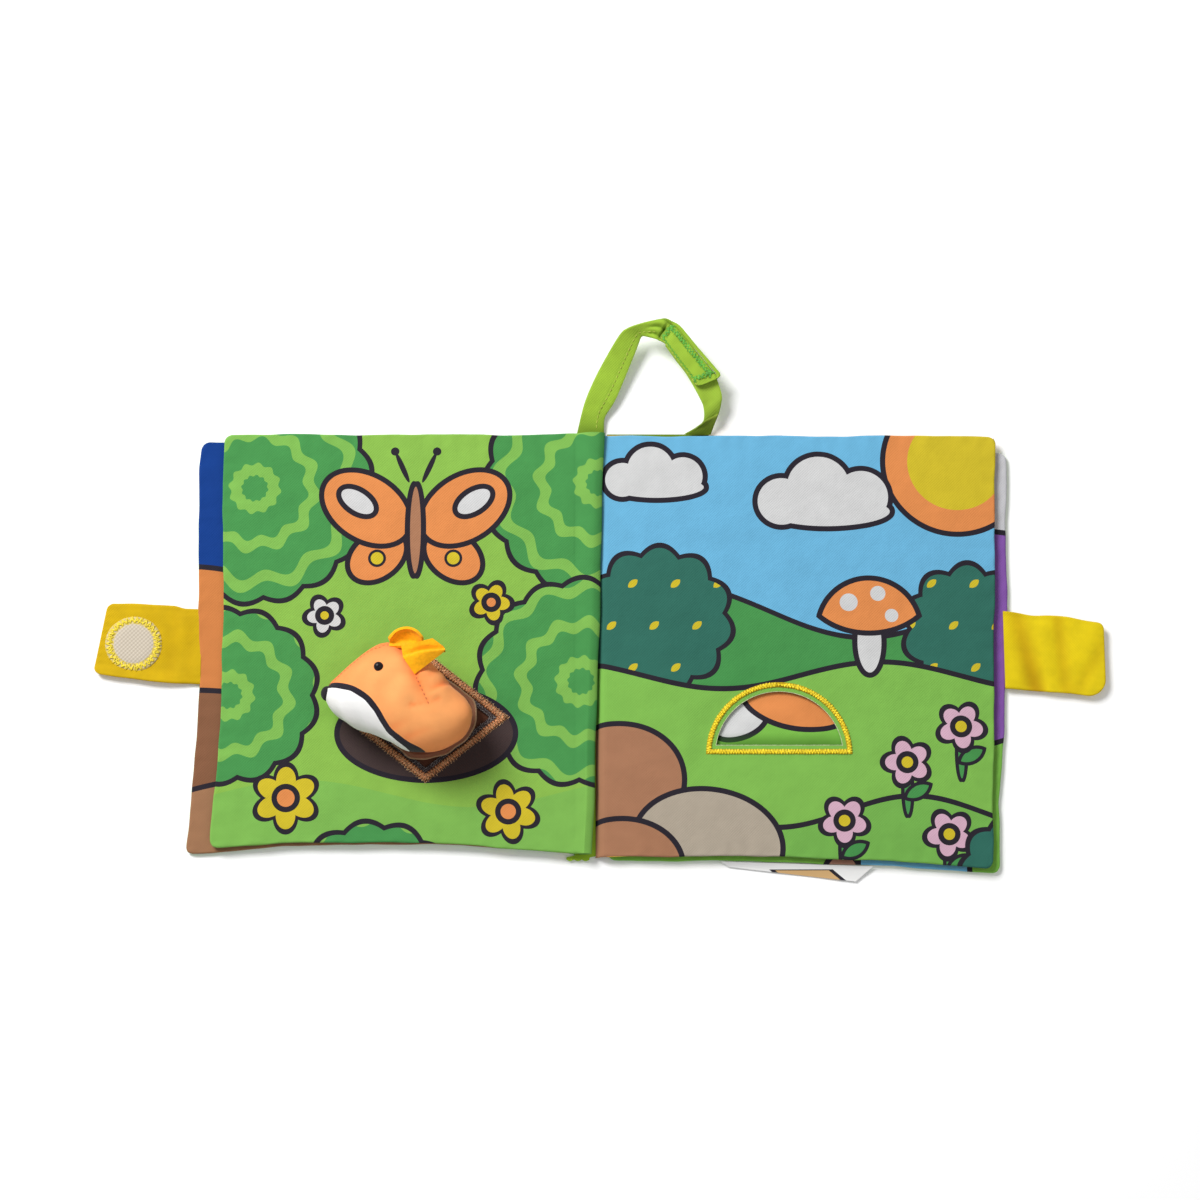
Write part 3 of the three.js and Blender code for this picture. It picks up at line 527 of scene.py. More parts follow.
def dot_cloth(name, x, y):
    """Hook-and-loop mesh, and the tab's yellow where the stitches draw its border thin."""
    finish = Finish(name, roughness=0.8)
    mesh = weave(finish, 0.9)
    cream = finish.mix(ink("e6dac8"), ink("b9ab94"), mesh * 0.6)
    border = (finish.place.to(x, y) > 8.8) * finish.stretch(finish.noise(0.8), 0.4, 0.6, 0.25, 0.85)
    finish.colour(finish.mix(cream, ink("ecd030"), border))
    finish.relief(mesh, 0.16)
    return finish.material


def felt(name, colour):
    finish = Finish(name, roughness=0.95, sheen=0.08)
    fibres = finish.noise(0.5, 4.0)
    finish.colour(finish.worn(colour, amount=0.1, size=1.6))
    finish.relief(fibres, 0.25)
    return finish.material


def film_finish():
    finish = Finish("crinkle_film", roughness=0.22)
    facets = finish.noise(3.0, 4.0)
    finish.colour(finish.mix(ink("dfe3e6"), ink("f4f6f7"), finish.stretch(facets, 0.35, 0.65)))
    finish.relief(facets, 0.6)
    return finish.material


def batting_finish():
    finish = Finish("batting", roughness=1.0, sheen=0.3)
    wisps = finish.noise(1.6, 5.0)
    finish.colour(finish.mix(ink("e6e2d8"), ink("f7f5ef"), wisps))
    finish.relief(wisps, 0.8)
    return finish.material


def floor_finish():
    """White paper that glows a little, so that only the shadows are grey."""
    finish = Finish("floor_paper", roughness=0.9)
    finish.colour((0.98, 0.98, 0.98, 1))
    finish.fill("Emission Color", (1, 1, 1, 1))
    finish.fill("Emission Strength", 0.04)
    return finish.material


FIRST_LEAF_CLOTH = first_leaf_print()
SECOND_LEAF_CLOTH = second_leaf_print()
FRONT_COVER_CLOTH = front_cover_inside_print()
BACK_COVER_CLOTH = back_cover_inside_print()
COVER_OUTSIDE = dotted_print("cover_outside_print", ink("9ad05e"), ink("b9e184"), 22, 4.0)
FIRST_LEAF_BACK = dotted_print("first_leaf_back_print", ink("7fc24e"), ink("e8dc4a"), 26, 4.0)
SECOND_LEAF_BACK = dotted_print("second_leaf_back_print", ink("e9a63c"), ink("f0d24a"), 26, 4.0)
# Each strap cloth's second colour is its painted shade.
LIME_CLOTH = strap_cloth("lime_strap_cloth", ink("a6cc3f"), ink("6f8f26"))
BINDING_CLOTH = plain_cloth("binding_cloth", ink("b4e03c"))
LIME_UNDERSIDE = plain_cloth("lime_strap_underside", ink("86a036"))
SHORT_STRAP_CLOTH = strap_cloth("short_strap_cloth", ink("a8cc42"), ink("6f8f26"), ink("93a53a"))
YELLOW_CLOTH = strap_cloth("yellow_tab_cloth", ink("f6da14"), ink("d2a604"), shaded_near_spine=False)
BROWN_CLOTH = plain_cloth("puppet_sleeve_cloth", ink("a9765a"))
COPPER_THREAD = thread("copper_thread", ink("eea068"), spread=0.65)
YELLOW_THREAD = thread("yellow_thread", (1.0, 0.78, 0.02, 1), spread=0.35)
LIME_THREAD = thread("green_thread", ink("66c23c"), spread=0.4)
PALE_THREAD = thread("pale_thread", ink("d6dc5c"))
ORANGE_THREAD = thread("orange_thread", ink("da6536"))
# Pale copper strands: fuzz, and painted highlights on the diamond's satin stitches.
COPPER_FUZZ_AND_GLINT = thread("copper_fuzz_and_glint_thread", ink("f6c894"), spread=0.5)
HOOK_THREAD = thread("hook_thread", ink("c9cdbd"), spread=0.4)
SLEEVE_EDGE = plain_cloth("sleeve_edge", ink("c09a78"))
FRAY = thread("frayed_threads", ink("a8a09c"), spread=0.5)
PALE_FRAY = thread("pale_cut_edge", ink("dbe6b4"))
HOOK_TAPE = plain_cloth("hook_tape", ink("ded2bf"), depth=0.2, creases=0.03, pitch=1.0)
# The second colour of each puppet cloth is its painted shade.
ORANGE_CLOTH = puppet_cloth("orange_puppet_cloth", (0.87, 0.385, 0.13, 1), (0.87, 0.23, 0.06, 1), lined=True)
CHIN_CLOTH = puppet_cloth("white_puppet_cloth", (0.9, 0.9, 0.89, 1), (0.78, 0.76, 0.74, 1))
YELLOW_FELT = felt("yellow_felt", (0.95, 0.42, 0.008, 1))
DARK_FELT = felt("dark_felt", ink("2f2a2e"))
DOT_THREAD = thread("dot_thread", ink("ffe636"), spread=0.25)
BEAD = plain_cloth("dark_bead", ink("241f22"), depth=0.01, creases=0.02)
BEAD.node_tree.nodes["Principled BSDF"].inputs["Roughness"].default_value = 0.2
FILM = film_finish()
BATTING = batting_finish()


# Meshes

def piece(name, points, faces, material, sharp=50):
    """A mesh object from points in millimetres and lists of point numbers."""
    mesh = bpy.data.meshes.new(name)
    mesh.from_pydata((np.asarray(points, float) * MM).tolist(), [], [list(map(int, f)) for f in faces])
    mesh.validate()
    mesh.shade_smooth()
    mesh.set_sharp_from_angle(angle=math.radians(sharp))
    mesh.materials.append(material)
    return link(name, mesh)


def grid_faces(rows, columns, keep=None):
    """Faces of a grid of points, seen counter-clockwise with rows along +X and columns along +Y."""
    i, j = np.meshgrid(np.arange(rows - 1), np.arange(columns - 1), indexing="ij")
    if keep is not None:
        i, j = i[keep], j[keep]
    low = i.ravel() * columns + j.ravel()
    return np.stack([low, low + columns, low + columns + 1, low + 1], axis=1)


def pad(name, top, bottom, material, keep=None, facing=1.0, sharp=60):
    """A closed piece between two grids of points, over the cells to keep."""
    step = top.shape[0] * top.shape[1]
    faces = grid_faces(*top.shape[:2], keep)
    if facing < 0:
        faces = faces[:, ::-1]
    under = faces[:, ::-1] + step
    edges = {(a, b): True for face in faces for a, b in zip(face, np.roll(face, -1))}
    rim = [(b, a, a + step, b + step) for a, b in edges if (b, a) not in edges]
    points = np.concatenate([top.reshape(-1, 3), bottom.reshape(-1, 3)])
    used = np.unique(np.concatenate([faces.ravel(), under.ravel()]))
    number = np.full(len(points), -1)
    number[used] = np.arange(len(used))
    return piece(name, points[used], [number[list(f)] for f in (*faces, *under, *rim)], material, sharp)


def thick_sheet(name, outer, thickness, material, keep=None, facing=1.0):
    """A cloth with an outer face given as a grid of points, and its thickness behind it."""
    normal = np.cross(np.gradient(outer, axis=0), np.gradient(outer, axis=1)) * facing
    normal /= np.linalg.norm(normal, axis=2, keepdims=True) + 1e-12
    return pad(name, outer, outer - normal * thickness, material, keep, facing, sharp=50)


def fasten(made, body, *nodes):
    """A piece rides on a body and stands for its CAD nodes."""
    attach(made, body)
    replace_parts(made, *nodes)


def smooth(share):
    share = np.clip(share, 0, 1)
    return share * share * (3 - 2 * share)


def ripples(x, y, seed, sizes, depth):
    """Soft waves in several directions, from about -depth to depth."""
    chance = np.random.default_rng(seed)
    total = np.zeros_like(x)
    for size in sizes:
        turn, shift, bend = chance.uniform(0, math.tau, 3)
        slide = 0.3 * np.sin((x * math.sin(turn) - y * math.cos(turn)) * math.tau / (2.7 * size) + bend)
        along = (x * math.cos(turn) + y * math.sin(turn)) / size + slide
        total += np.sin(along * math.tau + shift)
    return depth * total / math.sqrt(len(sizes))


def wavy(along, seed, depth):
    """The slight unevenness of a sewn edge."""
    chance = np.random.default_rng(seed)
    total = np.zeros_like(along)
    for size in (13.0, 21.0, 37.0, 66.0):
        total += np.sin(along * math.tau / size + chance.uniform(0, math.tau)) * size / 66
    return depth * total


def corner_pull(radius, from_side, from_end):
    """How far a square corner's points are drawn in from its side and its end to make it round."""
    a = np.clip(radius - from_side, 0, None)
    b = np.clip(radius - from_end, 0, None)
    both = (a > 0) & (b > 0)
    share = np.where(both, np.maximum(a, b) / np.maximum(np.hypot(a, b), 1e-9), 1)
    return a * (1 - share), b * (1 - share)


# Boards

SEAM_HALF = 0.65
CORNER = 4.2
# Grid lines lie at these distances from a sewn edge
EDGE_LINES = (0.0, 0.12, 0.35, 0.7, 1.2, 2.1, 3.3)
GRID_STEP = 1.9
INNER_EDGE = 7.5
RISE_MARGIN = 26.0


class Board:
    """A sewn board's plan and heights, in millimetres.

    Its side is -1 or 1, its reach is to the outer edge at head and foot, its foot is the y of its
    inner and outer foot corner, and its bow and flare bend the foot and outer edges.
    """

    def __init__(self, side, middle, crown, reach, head, foot, bow, seed, open_inner=False, lift=0.0,
                 flare=None):
        self.side = side
        self.middle = middle
        self.crown = crown
        self.open_inner = open_inner
        self.lift = lift
        self.seed = seed
        width = (reach[0] + reach[1]) / 2 - INNER_EDGE
        height = head - foot[0]
        u = self.lines(width, open_inner) / width
        v = self.lines(height, False) / height
        self.u, self.v = np.meshgrid(u, v, indexing="ij")
        outer = reach[1] + self.v * (reach[0] - reach[1])
        if flare:
            outer = outer + np.interp(self.v, np.linspace(0, 1, len(flare)), flare)
        low = foot[0] + self.u * (foot[1] - foot[0]) + 4 * bow * self.u * (1 - self.u)
        self.x = INNER_EDGE + self.u * (outer - INNER_EDGE)
        self.y = low + self.v * (head - low)
        self.from_inner = self.u * width
        self.from_outer = (1 - self.u) * width
        self.from_foot = self.v * height
        self.from_head = (1 - self.v) * height
        self.round_corners()
        edges = [self.from_outer, self.from_foot, self.from_head]
        if not open_inner:
            edges.append(self.from_inner)
        self.depth = np.minimum.reduce(edges)
        fade = np.exp(-self.depth / 7)
        self.x = self.x + wavy(self.y, seed + 1, 0.22) * fade * (self.from_outer < 30)
        self.y = self.y + wavy(self.x, seed + 2, 0.22) * fade * (self.from_outer > 0)
        if side < 0:
            for name in ("x", "y", "u", "v", "from_inner", "from_outer", "from_foot", "from_head", "depth"):
                setattr(self, name, getattr(self, name)[::-1])
        self.x = self.x * side

    @staticmethod
    def lines(length, open_start):
        """Grid lines over a length: close to the sewn edges, even between them."""
        edge = np.array(EDGE_LINES)
        start = np.array([0.0]) if open_start else edge
        count = max(int((length - start[-1] - edge[-1]) / GRID_STEP), 2)
        inside = np.linspace(start[-1], length - edge[-1], count + 1)[1:-1]
        return np.concatenate([start, inside, (length - edge)[::-1]])

    def round_corners(self):
        """Draws each square corner of the grid in to a round one."""
        corners = [(self.from_outer, 1, self.from_head, 1), (self.from_outer, 1, self.from_foot, -1)]
        if not self.open_inner:
            corners += [(self.from_inner, -1, self.from_head, 1), (self.from_inner, -1, self.from_foot, -1)]
        for from_side, x_way, from_end, y_way in corners:
            in_x, in_y = corner_pull(CORNER, from_side, from_end)
            self.x = self.x - x_way * in_x
            self.y = self.y - y_way * in_y

    def half(self):
        """Half the board's thickness: a rounded seam, then the slow rise to the crown."""
        rounded = SEAM_HALF * np.sqrt(1 - (1 - np.clip(self.depth / SEAM_HALF, 0, 1)) ** 2)
        rise = 1 if self.open_inner else smooth(self.from_inner / RISE_MARGIN)
        for edge in (self.from_outer, self.from_foot, self.from_head):
            rise = rise * smooth(edge / RISE_MARGIN)
        return 0.03 + rounded + (self.crown / 2 - SEAM_HALF) * rise

    def pressed(self, away, depth):
        """How far the stitches round a window draw the panels together."""
        return -depth * smooth(1 - away(self.x, self.y) / 10)

    def pucker(self, depth):
        """Short creases that run in from the sewn edges."""
        side_wave = np.sin(self.y * math.tau / 8.6 + wavy(self.y, self.seed + 3, 1.6))
        end_wave = np.sin(self.x * math.tau / 9.4 + wavy(self.x, self.seed + 4, 1.6))
        nearer = np.minimum(self.from_foot, self.from_head) < self.from_outer
        wave = np.where(nearer, end_wave, side_wave)
        return depth * wave * np.exp(-self.depth / 6.5) * smooth(self.depth / 1.6)

    def carried(self):
        """How far the whole board lifts off what it lies on."""
        outward = smooth((self.from_inner - 60) / 110)
        sway = 0.5 + 0.5 * np.sin(self.y / 31 + self.seed)
        return self.lift * outward * sway

    def face(self, up, extra=0.0):
        """The outer face of the upper or the lower panel, as a grid of points."""
        height = self.half() + extra
        z = self.middle + self.carried() + (height if up else -height)
        return np.stack([self.x, self.y, z], axis=2)

    def kept(self, inside):
        """The grid's cells whose middles lie outside a hole."""
        x = (self.x[:-1, :-1] + self.x[1:, 1:]) / 2
        y = (self.y[:-1, :-1] + self.y[1:, 1:]) / 2
        return ~inside(x, y)


PUPPET = Vector((-72.6, -31.8))
SLEEVE_RADIUS = 14.5
DIAMOND = (36.7, 29.2)
DIAMOND_INRADIUS = DIAMOND[0] * DIAMOND[1] / math.hypot(*DIAMOND)
MOON = (83.6, -48.4, 32.4)


def from_puppet(x, y):
    return np.hypot(x - PUPPET.x, y - PUPPET.y)


def from_diamond(x, y):
    return DIAMOND_INRADIUS * (np.abs(x - PUPPET.x) / DIAMOND[0] + np.abs(y - PUPPET.y) / DIAMOND[1] - 1)


def from_moon(x, y):
    return np.maximum(np.hypot(x - MOON[0], y - MOON[1]) - MOON[2], MOON[1] - y)


def in_window(away, inset):
    return lambda x, y: away(x, y) < -inset


def in_finger_hole(spare):
    return lambda x, y: from_puppet(x, y) < SLEEVE_RADIUS + spare


COVER_MIDDLE = 1.7
LEAF_MIDDLE = 4.7
CLOTH = 0.5

front_cover = Board(-1, COVER_MIDDLE, 3.4, (174.2, 176.6), 94.4, (-92.2, -92.8), bow=4.6, seed=3,
                    flare=(1.8, 0.9, -0.3, -0.9, -1.4, -1.8, -2.0, -2.0, -1.7, -1.0, -0.5, 0.0, 0.5, 0.6, 0.7,
                           0.8, 0.3))
back_cover = Board(1, COVER_MIDDLE, 3.4, (187, 180.6), 89.4, (-95.4, -101), bow=2, seed=11,
                   flare=(0.0, -0.3, -1.6, -0.2, 0.8, 1.0, 1.4, 1.6, 1.4, 0.5, 0.0, 0.0, 0.0))
first_leaf = Board(-1, LEAF_MIDDLE, 1.9, (162.8, 166.4), 97, (-92.9, -90.2), bow=4,
                   open_inner=True, lift=0.2, seed=5,
                   flare=(0.9, 0.2, -0.7, -1.3, -1.7, -1.8, -1.4, -1.0, -0.45, 0.2, 0.8, 1.4, 1.7))
second_leaf = Board(1, LEAF_MIDDLE, 1.9, (181.8, 177), 96.4, (-94.2, -99.3), bow=2.5,
                    open_inner=True, lift=0.15, seed=8)


def crinkle(board, depth, seed):
    """Waves that the film under a panel keeps it in, never below the panel's plain height."""
    waves = ripples(board.x, board.y, seed, (19.0, 27.0, 34.0, 52.0, 80.0), depth)
    return (waves + depth) * smooth(board.depth / 14) * 0.6


# The first leaf rises to its bound edge, and that edge rolls over the gutter

ROLL_START = -7.5
ROLL_RAMP = 26.0


def first_leaf_rise(x, v):
    """How far the first leaf's upper face climbs towards the gutter."""
    near = smooth((x - ROLL_START + ROLL_RAMP) / ROLL_RAMP)
    return near * near * (0.55 + 0.75 * v)


def second_leaf_dip(x):
    return -0.5 * smooth((ROLL_RAMP - (x + ROLL_START)) / ROLL_RAMP) ** 2


def dressed_board(name, board, upper_cloth, hole=None, upper_extra=0.0):
    """The two panels of a cover."""
    keep = board.kept(hole) if hole else None
    top, bottom = board.face(True, upper_extra), board.face(False, board.pucker(0.12))
    made = [
        thick_sheet(name + "_inside", top, CLOTH, upper_cloth, keep),
        thick_sheet(name + "_outside", bottom, CLOTH, COVER_OUTSIDE, keep, facing=-1),
    ]
    for panel in made:
        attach(panel, name)
    return made


def cover_extra(board, seed):
    return board.pucker(0.22) + crinkle(board, 0.10, seed)


front_panels = dressed_board(
    "front_cover", front_cover, FRONT_COVER_CLOTH, in_finger_hole(0.9), cover_extra(front_cover, 21)
)
behind_moon = smooth((26.5 - np.hypot(back_cover.x - MOON[0], back_cover.y - MOON[1])) / 8)
dome = 1.6 * behind_moon * smooth((back_cover.y - MOON[1] - 0.8) / 7)
back_panels = dressed_board(
    "back_cover", back_cover, BACK_COVER_CLOTH, None, cover_extra(back_cover, 22) + dome
)


def leaf_panels(name, board, front_cloth, back_cloth, window, hem, climb, seed):
    """The two panels of a leaf, and its upper face."""
    extra = board.pucker(0.28) + crinkle(board, 0.28, seed) + climb + board.pressed(window, 0.75)
    keep = board.kept(in_window(window, hem))
    top = board.face(True, extra)
    bottom = board.face(False, board.pucker(0.1))
    front = thick_sheet(name + "_front", top, CLOTH, front_cloth, keep)
    back = thick_sheet(name + "_back", bottom, CLOTH, back_cloth, keep, facing=-1)
    for panel in (front, back):
        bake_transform(panel)
    return front, back, top


first_front, first_back, first_top = leaf_panels(
    "first_leaf", first_leaf, FIRST_LEAF_CLOTH, FIRST_LEAF_BACK, from_diamond, 2.2,
    first_leaf_rise(first_leaf.x, first_leaf.v), 31,
)
second_front, second_back, second_top = leaf_panels(
    "second_leaf", second_leaf, SECOND_LEAF_CLOTH, SECOND_LEAF_BACK, from_moon, 2.0,
    second_leaf_dip(second_leaf.x), 37,
)

# What each window takes from a panel, in square metres
FINGER_HOLE_AREA = 0.00066
DIAMOND_AREA = 0.0018
MOON_AREA = 0.0014

# A panel was cut to its board's own width and height, less round corners and perhaps a window
for panel, node, board, held, rests_on, window_area in (
    (front_panels[0], "front_cover_inner", front_cover, "stretched", "front_cover_pad", FINGER_HOLE_AREA),
    (front_panels[1], "front_cover_outer", front_cover, "stretched", "front_cover_pad", FINGER_HOLE_AREA),
    (back_panels[0], "back_cover_inner", back_cover, "stretched", "back_cover_pad", 0.0),
    (back_panels[1], "back_cover_outer", back_cover, "stretched", "back_cover_pad", 0.0),
    (first_front, "first_leaf_front", first_leaf, "laid", "first_leaf_film", DIAMOND_AREA),
    (first_back, "first_leaf_back", first_leaf, "laid", "front_cover_inside", DIAMOND_AREA),
    (second_front, "second_leaf_front", second_leaf, "laid", "second_leaf_film", MOON_AREA),
    (second_back, "second_leaf_back", second_leaf, "laid", "back_cover_inside", MOON_AREA),
):
    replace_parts(panel, node + "_panel")


# What lies inside the boards

def filling(name, body, node, board, low, high, material, hole=None, ripple=0.0):
    """A closed pad or film inside a board, from one height to another."""
    inside = board.depth > 13
    if board.open_inner:
        inside &= board.from_inner > 18
    cells = inside[:-1, :-1] & inside[1:, 1:] & inside[1:, :-1] & inside[:-1, 1:]
    if hole:
        cells &= board.kept(hole)
    waves = ripples(board.x, board.y, 77, (9.0, 13.0, 21.0), ripple)
    half = board.half()
    top = np.stack([board.x, board.y, board.middle + high(half) + waves], axis=2)
    made = thick_sheet(name, top, float(np.median((high(half) - low(half))[inside])), material, cells)
    fasten(made, body, node)
    return made


for side, board, hole in (
    ("front_cover", front_cover, in_finger_hole(2.4)), ("back_cover", back_cover, None),
):
    batting = filling(side + "_pad", side, side + "_batting", board,
                      lambda h: 0.85 - h, lambda h: h - 1.5, BATTING, hole)
    filling(side + "_film", side, side + "_crinkle_film", board,
            lambda h: h - 0.95, lambda h: h - 0.85, FILM, hole, 0.04)
filling("first_leaf_film", "first_leaf", "first_leaf_crinkle_film", first_leaf,
        lambda h: -0.1 * h, lambda h: 0.1 * h, FILM, in_window(from_diamond, -9), 0.12)
filling("second_leaf_film", "second_leaf", "second_leaf_crinkle_film", second_leaf,
        lambda h: -0.1 * h, lambda h: 0.1 * h, FILM, in_window(from_moon, -9), 0.12)


# Gutter rolls

def catmull(points, steps):
    """A smooth curve through the points, as steps + 1 points."""
    points = np.asarray(points, float)
    ends = np.concatenate([[2 * points[0] - points[1]], points, [2 * points[-1] - points[-2]]])
    spans = len(points) - 1
    t = np.linspace(0, spans, steps + 1)
    index = np.minimum(t.astype(int), spans - 1)
    f = (t - index)[:, None]
    p0, p1, p2, p3 = (ends[index + k] for k in range(4))
    return 0.5 * (2 * p1 + (p2 - p0) * f + (2 * p0 - 5 * p1 + 4 * p2 - p3) * f ** 2
                  + (3 * p1 - p0 - 3 * p2 + p3) * f ** 3)


ROLL_SPLIT = 1.8


def profile_at(y, route, steps):
    """A smooth profile through points of x and z, at one y."""
    line = catmull(route, steps)
    return np.stack([line[:, 0], np.full(len(line), y), line[:, 1]], axis=1)


def blend_in_x(made):
    """The fold of a bound edge, with its place baked into its points."""
    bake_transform(made)


def first_roll():
    """The first leaf's bound edge: over the gutter, and back under to the binding tape."""
    edge = first_top[-1]
    rows = []
    for start, last in zip(edge, first_top[-2]):
        v = (start[1] - edge[0][1]) / (edge[-1][1] - edge[0][1])
        slope = (start[2] - last[2]) / (start[0] - last[0])
        reach = 0.8 + 5.5 * v ** 0.85 + 0.35 * math.sin(start[1] / 9) * math.sin(start[1] / 23 + 1)
        peak = 7.0 + 1.6 * v
        route = [
            (start[0], start[2]),
            (start[0] + 1.6, start[2] + 1.6 * slope),
            (0.45 * start[0] + 0.45 * reach, peak - 0.15),
            (reach - 3.2, peak),
            (reach - 0.8, peak - 1.0),
            (reach, peak - 2.3),
            (reach - 1.5, peak - 3.9),
            (reach - 4.2, 2.6),
            (reach - 5.2, 1.75),
        ]
        rows.append(profile_at(start[1], route, 44))
    outer = np.stack(rows, axis=1)
    overhang = (outer[:-1, :-1, 0] + outer[1:, 1:, 0]) / 2 > ROLL_SPLIT
    roll = thick_sheet("first_leaf_roll", outer, CLOTH, FIRST_LEAF_CLOTH, ~overhang)
    blend_in_x(roll)
    lip = thick_sheet("first_leaf_roll_lip", outer, CLOTH, FIRST_LEAF_CLOTH, overhang)
    blend_in_x(lip)
    for made in (roll, lip):
        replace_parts(made, "first_leaf_gutter_roll")


def second_roll():
    """The second leaf's bound edge dips under the first one."""
    rows = []
    for start in second_top[0]:
        route = [
            (start[0], start[2]),
            (start[0] - 1.6, start[2] - 0.25),
            (start[0] - 3.2, start[2] - 1.3),
            (start[0] - 4.3, start[2] - 2.9),
            (start[0] - 5.0, 1.8),
        ]
        rows.append(profile_at(start[1], route, 18)[::-1])
    roll = thick_sheet("second_leaf_roll", np.stack(rows, axis=1), CLOTH, SECOND_LEAF_CLOTH)
    blend_in_x(roll)
    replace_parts(roll, "second_leaf_gutter_roll")


first_roll()
second_roll()


# Pads, ribbons and stitches

def paint(made, name, values):
    """Keeps a number for every point of a mesh, for a finish to read."""
    made.data.attributes.new(name, "FLOAT", "POINT").data.foreach_set("value", values)


def paint_pad(made, name, values):
    """The same numbers on both sides of a pad."""
    paint(made, name, np.tile(values.ravel(), 2))


def between(right, left, share):
    """A run of points between a strap's two edges."""
    return right * (1 - share) + left * share


def closed(line):
    """A run of points that ends where it starts."""
    return [*line, line[0]]


def ribbon(name, right, left, thickness, material, cells=12, lift=None):
    """A strap between two edges, each a run of points. Seen from above, left lies left of right."""
    share = np.linspace(0, 1, cells + 1)[None, :, None]
    middle = between(right[:, None], left[:, None], share)
    if lift is not None:
        middle[:, :, 2] += lift(np.linspace(0, 1, len(right))[:, None], share[:, :, 0])
    normal = np.cross(np.gradient(middle, axis=0), np.gradient(middle, axis=1))
    normal /= np.linalg.norm(normal, axis=2, keepdims=True)
    edge = np.minimum(share, 1 - share) * cells / 2
    round_half = thickness / 2 * (0.45 + 0.55 * np.sqrt(np.clip(edge, 0, 1)))
    return pad(name, middle + normal * round_half, middle - normal * round_half, material)


def stitch_tree():
    """Geometry nodes that set stitches along a line."""
    tree = bpy.data.node_groups.new("row_of_stitches", "GeometryNodeTree")
    face = tree.interface
    face.new_socket("Line", in_out="INPUT", socket_type="NodeSocketGeometry")
    for name in ("Pitch", "Long", "Wide", "High", "Turn", "Swing", "Unevenness"):
        face.new_socket(name, in_out="INPUT", socket_type="NodeSocketFloat")
    face.new_socket("Seed", in_out="INPUT", socket_type="NodeSocketInt")
    face.new_socket("Thread", in_out="INPUT", socket_type="NodeSocketMaterial")
    face.new_socket("Stitches", in_out="OUTPUT", socket_type="NodeSocketGeometry")
    start = tree.nodes.new("NodeGroupInput").outputs

    def node(kind, values=None, settings=None, output=0):
        return add_node(tree, kind, values, settings)[output]

    def math_node(operation, *values):
        return node("ShaderNodeMath", dict(enumerate(values)), {"operation": operation})

    def chance(low, high, shift):
        values = {2: low, 3: high, "Seed": math_node("ADD", start["Seed"], shift)}
        return node("FunctionNodeRandomValue", values, {"data_type": "FLOAT"}, output=1)

    def uneven(size, shift):
        spread = math_node("MULTIPLY", start["Unevenness"], chance(-1.0, 1.0, shift))
        return math_node("MULTIPLY", size, math_node("ADD", 1.0, spread))

    curve = node("GeometryNodeMeshToCurve", {"Mesh": start["Line"]})
    points = node("GeometryNodeResampleCurve", {"Curve": curve, "Length": start["Pitch"]}, {"mode": "LENGTH"})
    parity = math_node("MODULO", node("GeometryNodeInputIndex"), 2.0)
    side = math_node("SUBTRACT", math_node("MULTIPLY", parity, 2.0), 1.0)
    angle = math_node("ADD", start["Turn"], math_node("MULTIPLY", side, start["Swing"]))
    angle = math_node("ADD", angle, math_node("MULTIPLY", start["Unevenness"], chance(-0.6, 0.6, 1)))
    tangent = node("GeometryNodeInputTangent")
    along = node("FunctionNodeAlignRotationToVector", {"Vector": tangent}, {"axis": "X"})
    turned = node("FunctionNodeEulerToRotation", {0: node("ShaderNodeCombineXYZ", {"Z": angle})})
    rotation = node(
        "FunctionNodeRotateRotation", {"Rotation": along, "Rotate By": turned}, {"rotation_space": "LOCAL"}
    )
    size = node("ShaderNodeCombineXYZ", {
        "X": uneven(start["Long"], 2), "Y": uneven(start["Wide"], 3), "Z": uneven(start["High"], 4),
    })
    ball = node("GeometryNodeMeshUVSphere", {"Segments": 6, "Rings": 4, "Radius": 0.5})
    rows = node("GeometryNodeInstanceOnPoints", {
        "Points": points, "Instance": ball, "Rotation": rotation, "Scale": size,
    })
    real = node("GeometryNodeRealizeInstances", {"Geometry": rows})
    real = node("GeometryNodeSetShadeSmooth", {"Geometry": real})
    real = node("GeometryNodeSetMaterial", {"Geometry": real, "Material": start["Thread"]})
    tree.links.new(real, tree.nodes.new("NodeGroupOutput").inputs["Stitches"])
    return tree


STITCH_TREE = stitch_tree()


def stitches(name, line, material, pitch, long, wide, high=0.3, turn=90.0, swing=0.0, uneven=0.12, seed=1):
    """Stitches along a line of points: across it at a turn of 90 degrees, along it at 0."""
    guide_mesh = bpy.data.meshes.new(name + "_line")
    edges = [(i, i + 1) for i in range(len(line) - 1)]
    guide_mesh.from_pydata((np.asarray(line, float) * MM).tolist(), edges, [])
    guide = link(name + "_line", guide_mesh)
    rows = guide.modifiers.new("stitches", "NODES")
    rows.node_group = STITCH_TREE
    values = {
        "Pitch": pitch * MM, "Long": long * MM, "Wide": wide * MM, "High": high * MM,
        "Turn": math.radians(turn), "Swing": math.radians(swing), "Unevenness": uneven,
        "Seed": seed, "Thread": material,
    }
    for item in STITCH_TREE.interface.items_tree:
        if item.name in values:
            rows[item.identifier] = values[item.name]
    evaluated = guide.evaluated_get(bpy.context.evaluated_depsgraph_get())
    mesh = bpy.data.meshes.new_from_object(evaluated)
    mesh.name = name
    bpy.data.objects.remove(guide)
    return link(name, mesh)


def loop_line(points, steps):
    """A closed run of points, its corners kept, with steps between each two."""
    points = [np.asarray(p, float) for p in points]
    line = []
    for a, b in zip(points, points[1:] + points[:1]):
        line += [a + (b - a) * k / steps for k in range(steps)]
    return line


# Edges of the windows

def swept(name, loops, material, sharp=40):
    """A closed band from a list of loops of equal length, each a closed run of points."""
    grid = np.array(loops)
    count, length = grid.shape[:2]
    faces = []
    for i in range(count):
        for j in range(length):
            a, b = i * length + j, i * length + (j + 1) % length
            c, d = ((i + 1) % count) * length + (j + 1) % length, ((i + 1) % count) * length + j
            faces.append((a, b, c, d))
    return piece(name, grid.reshape(-1, 3), faces, material, sharp)


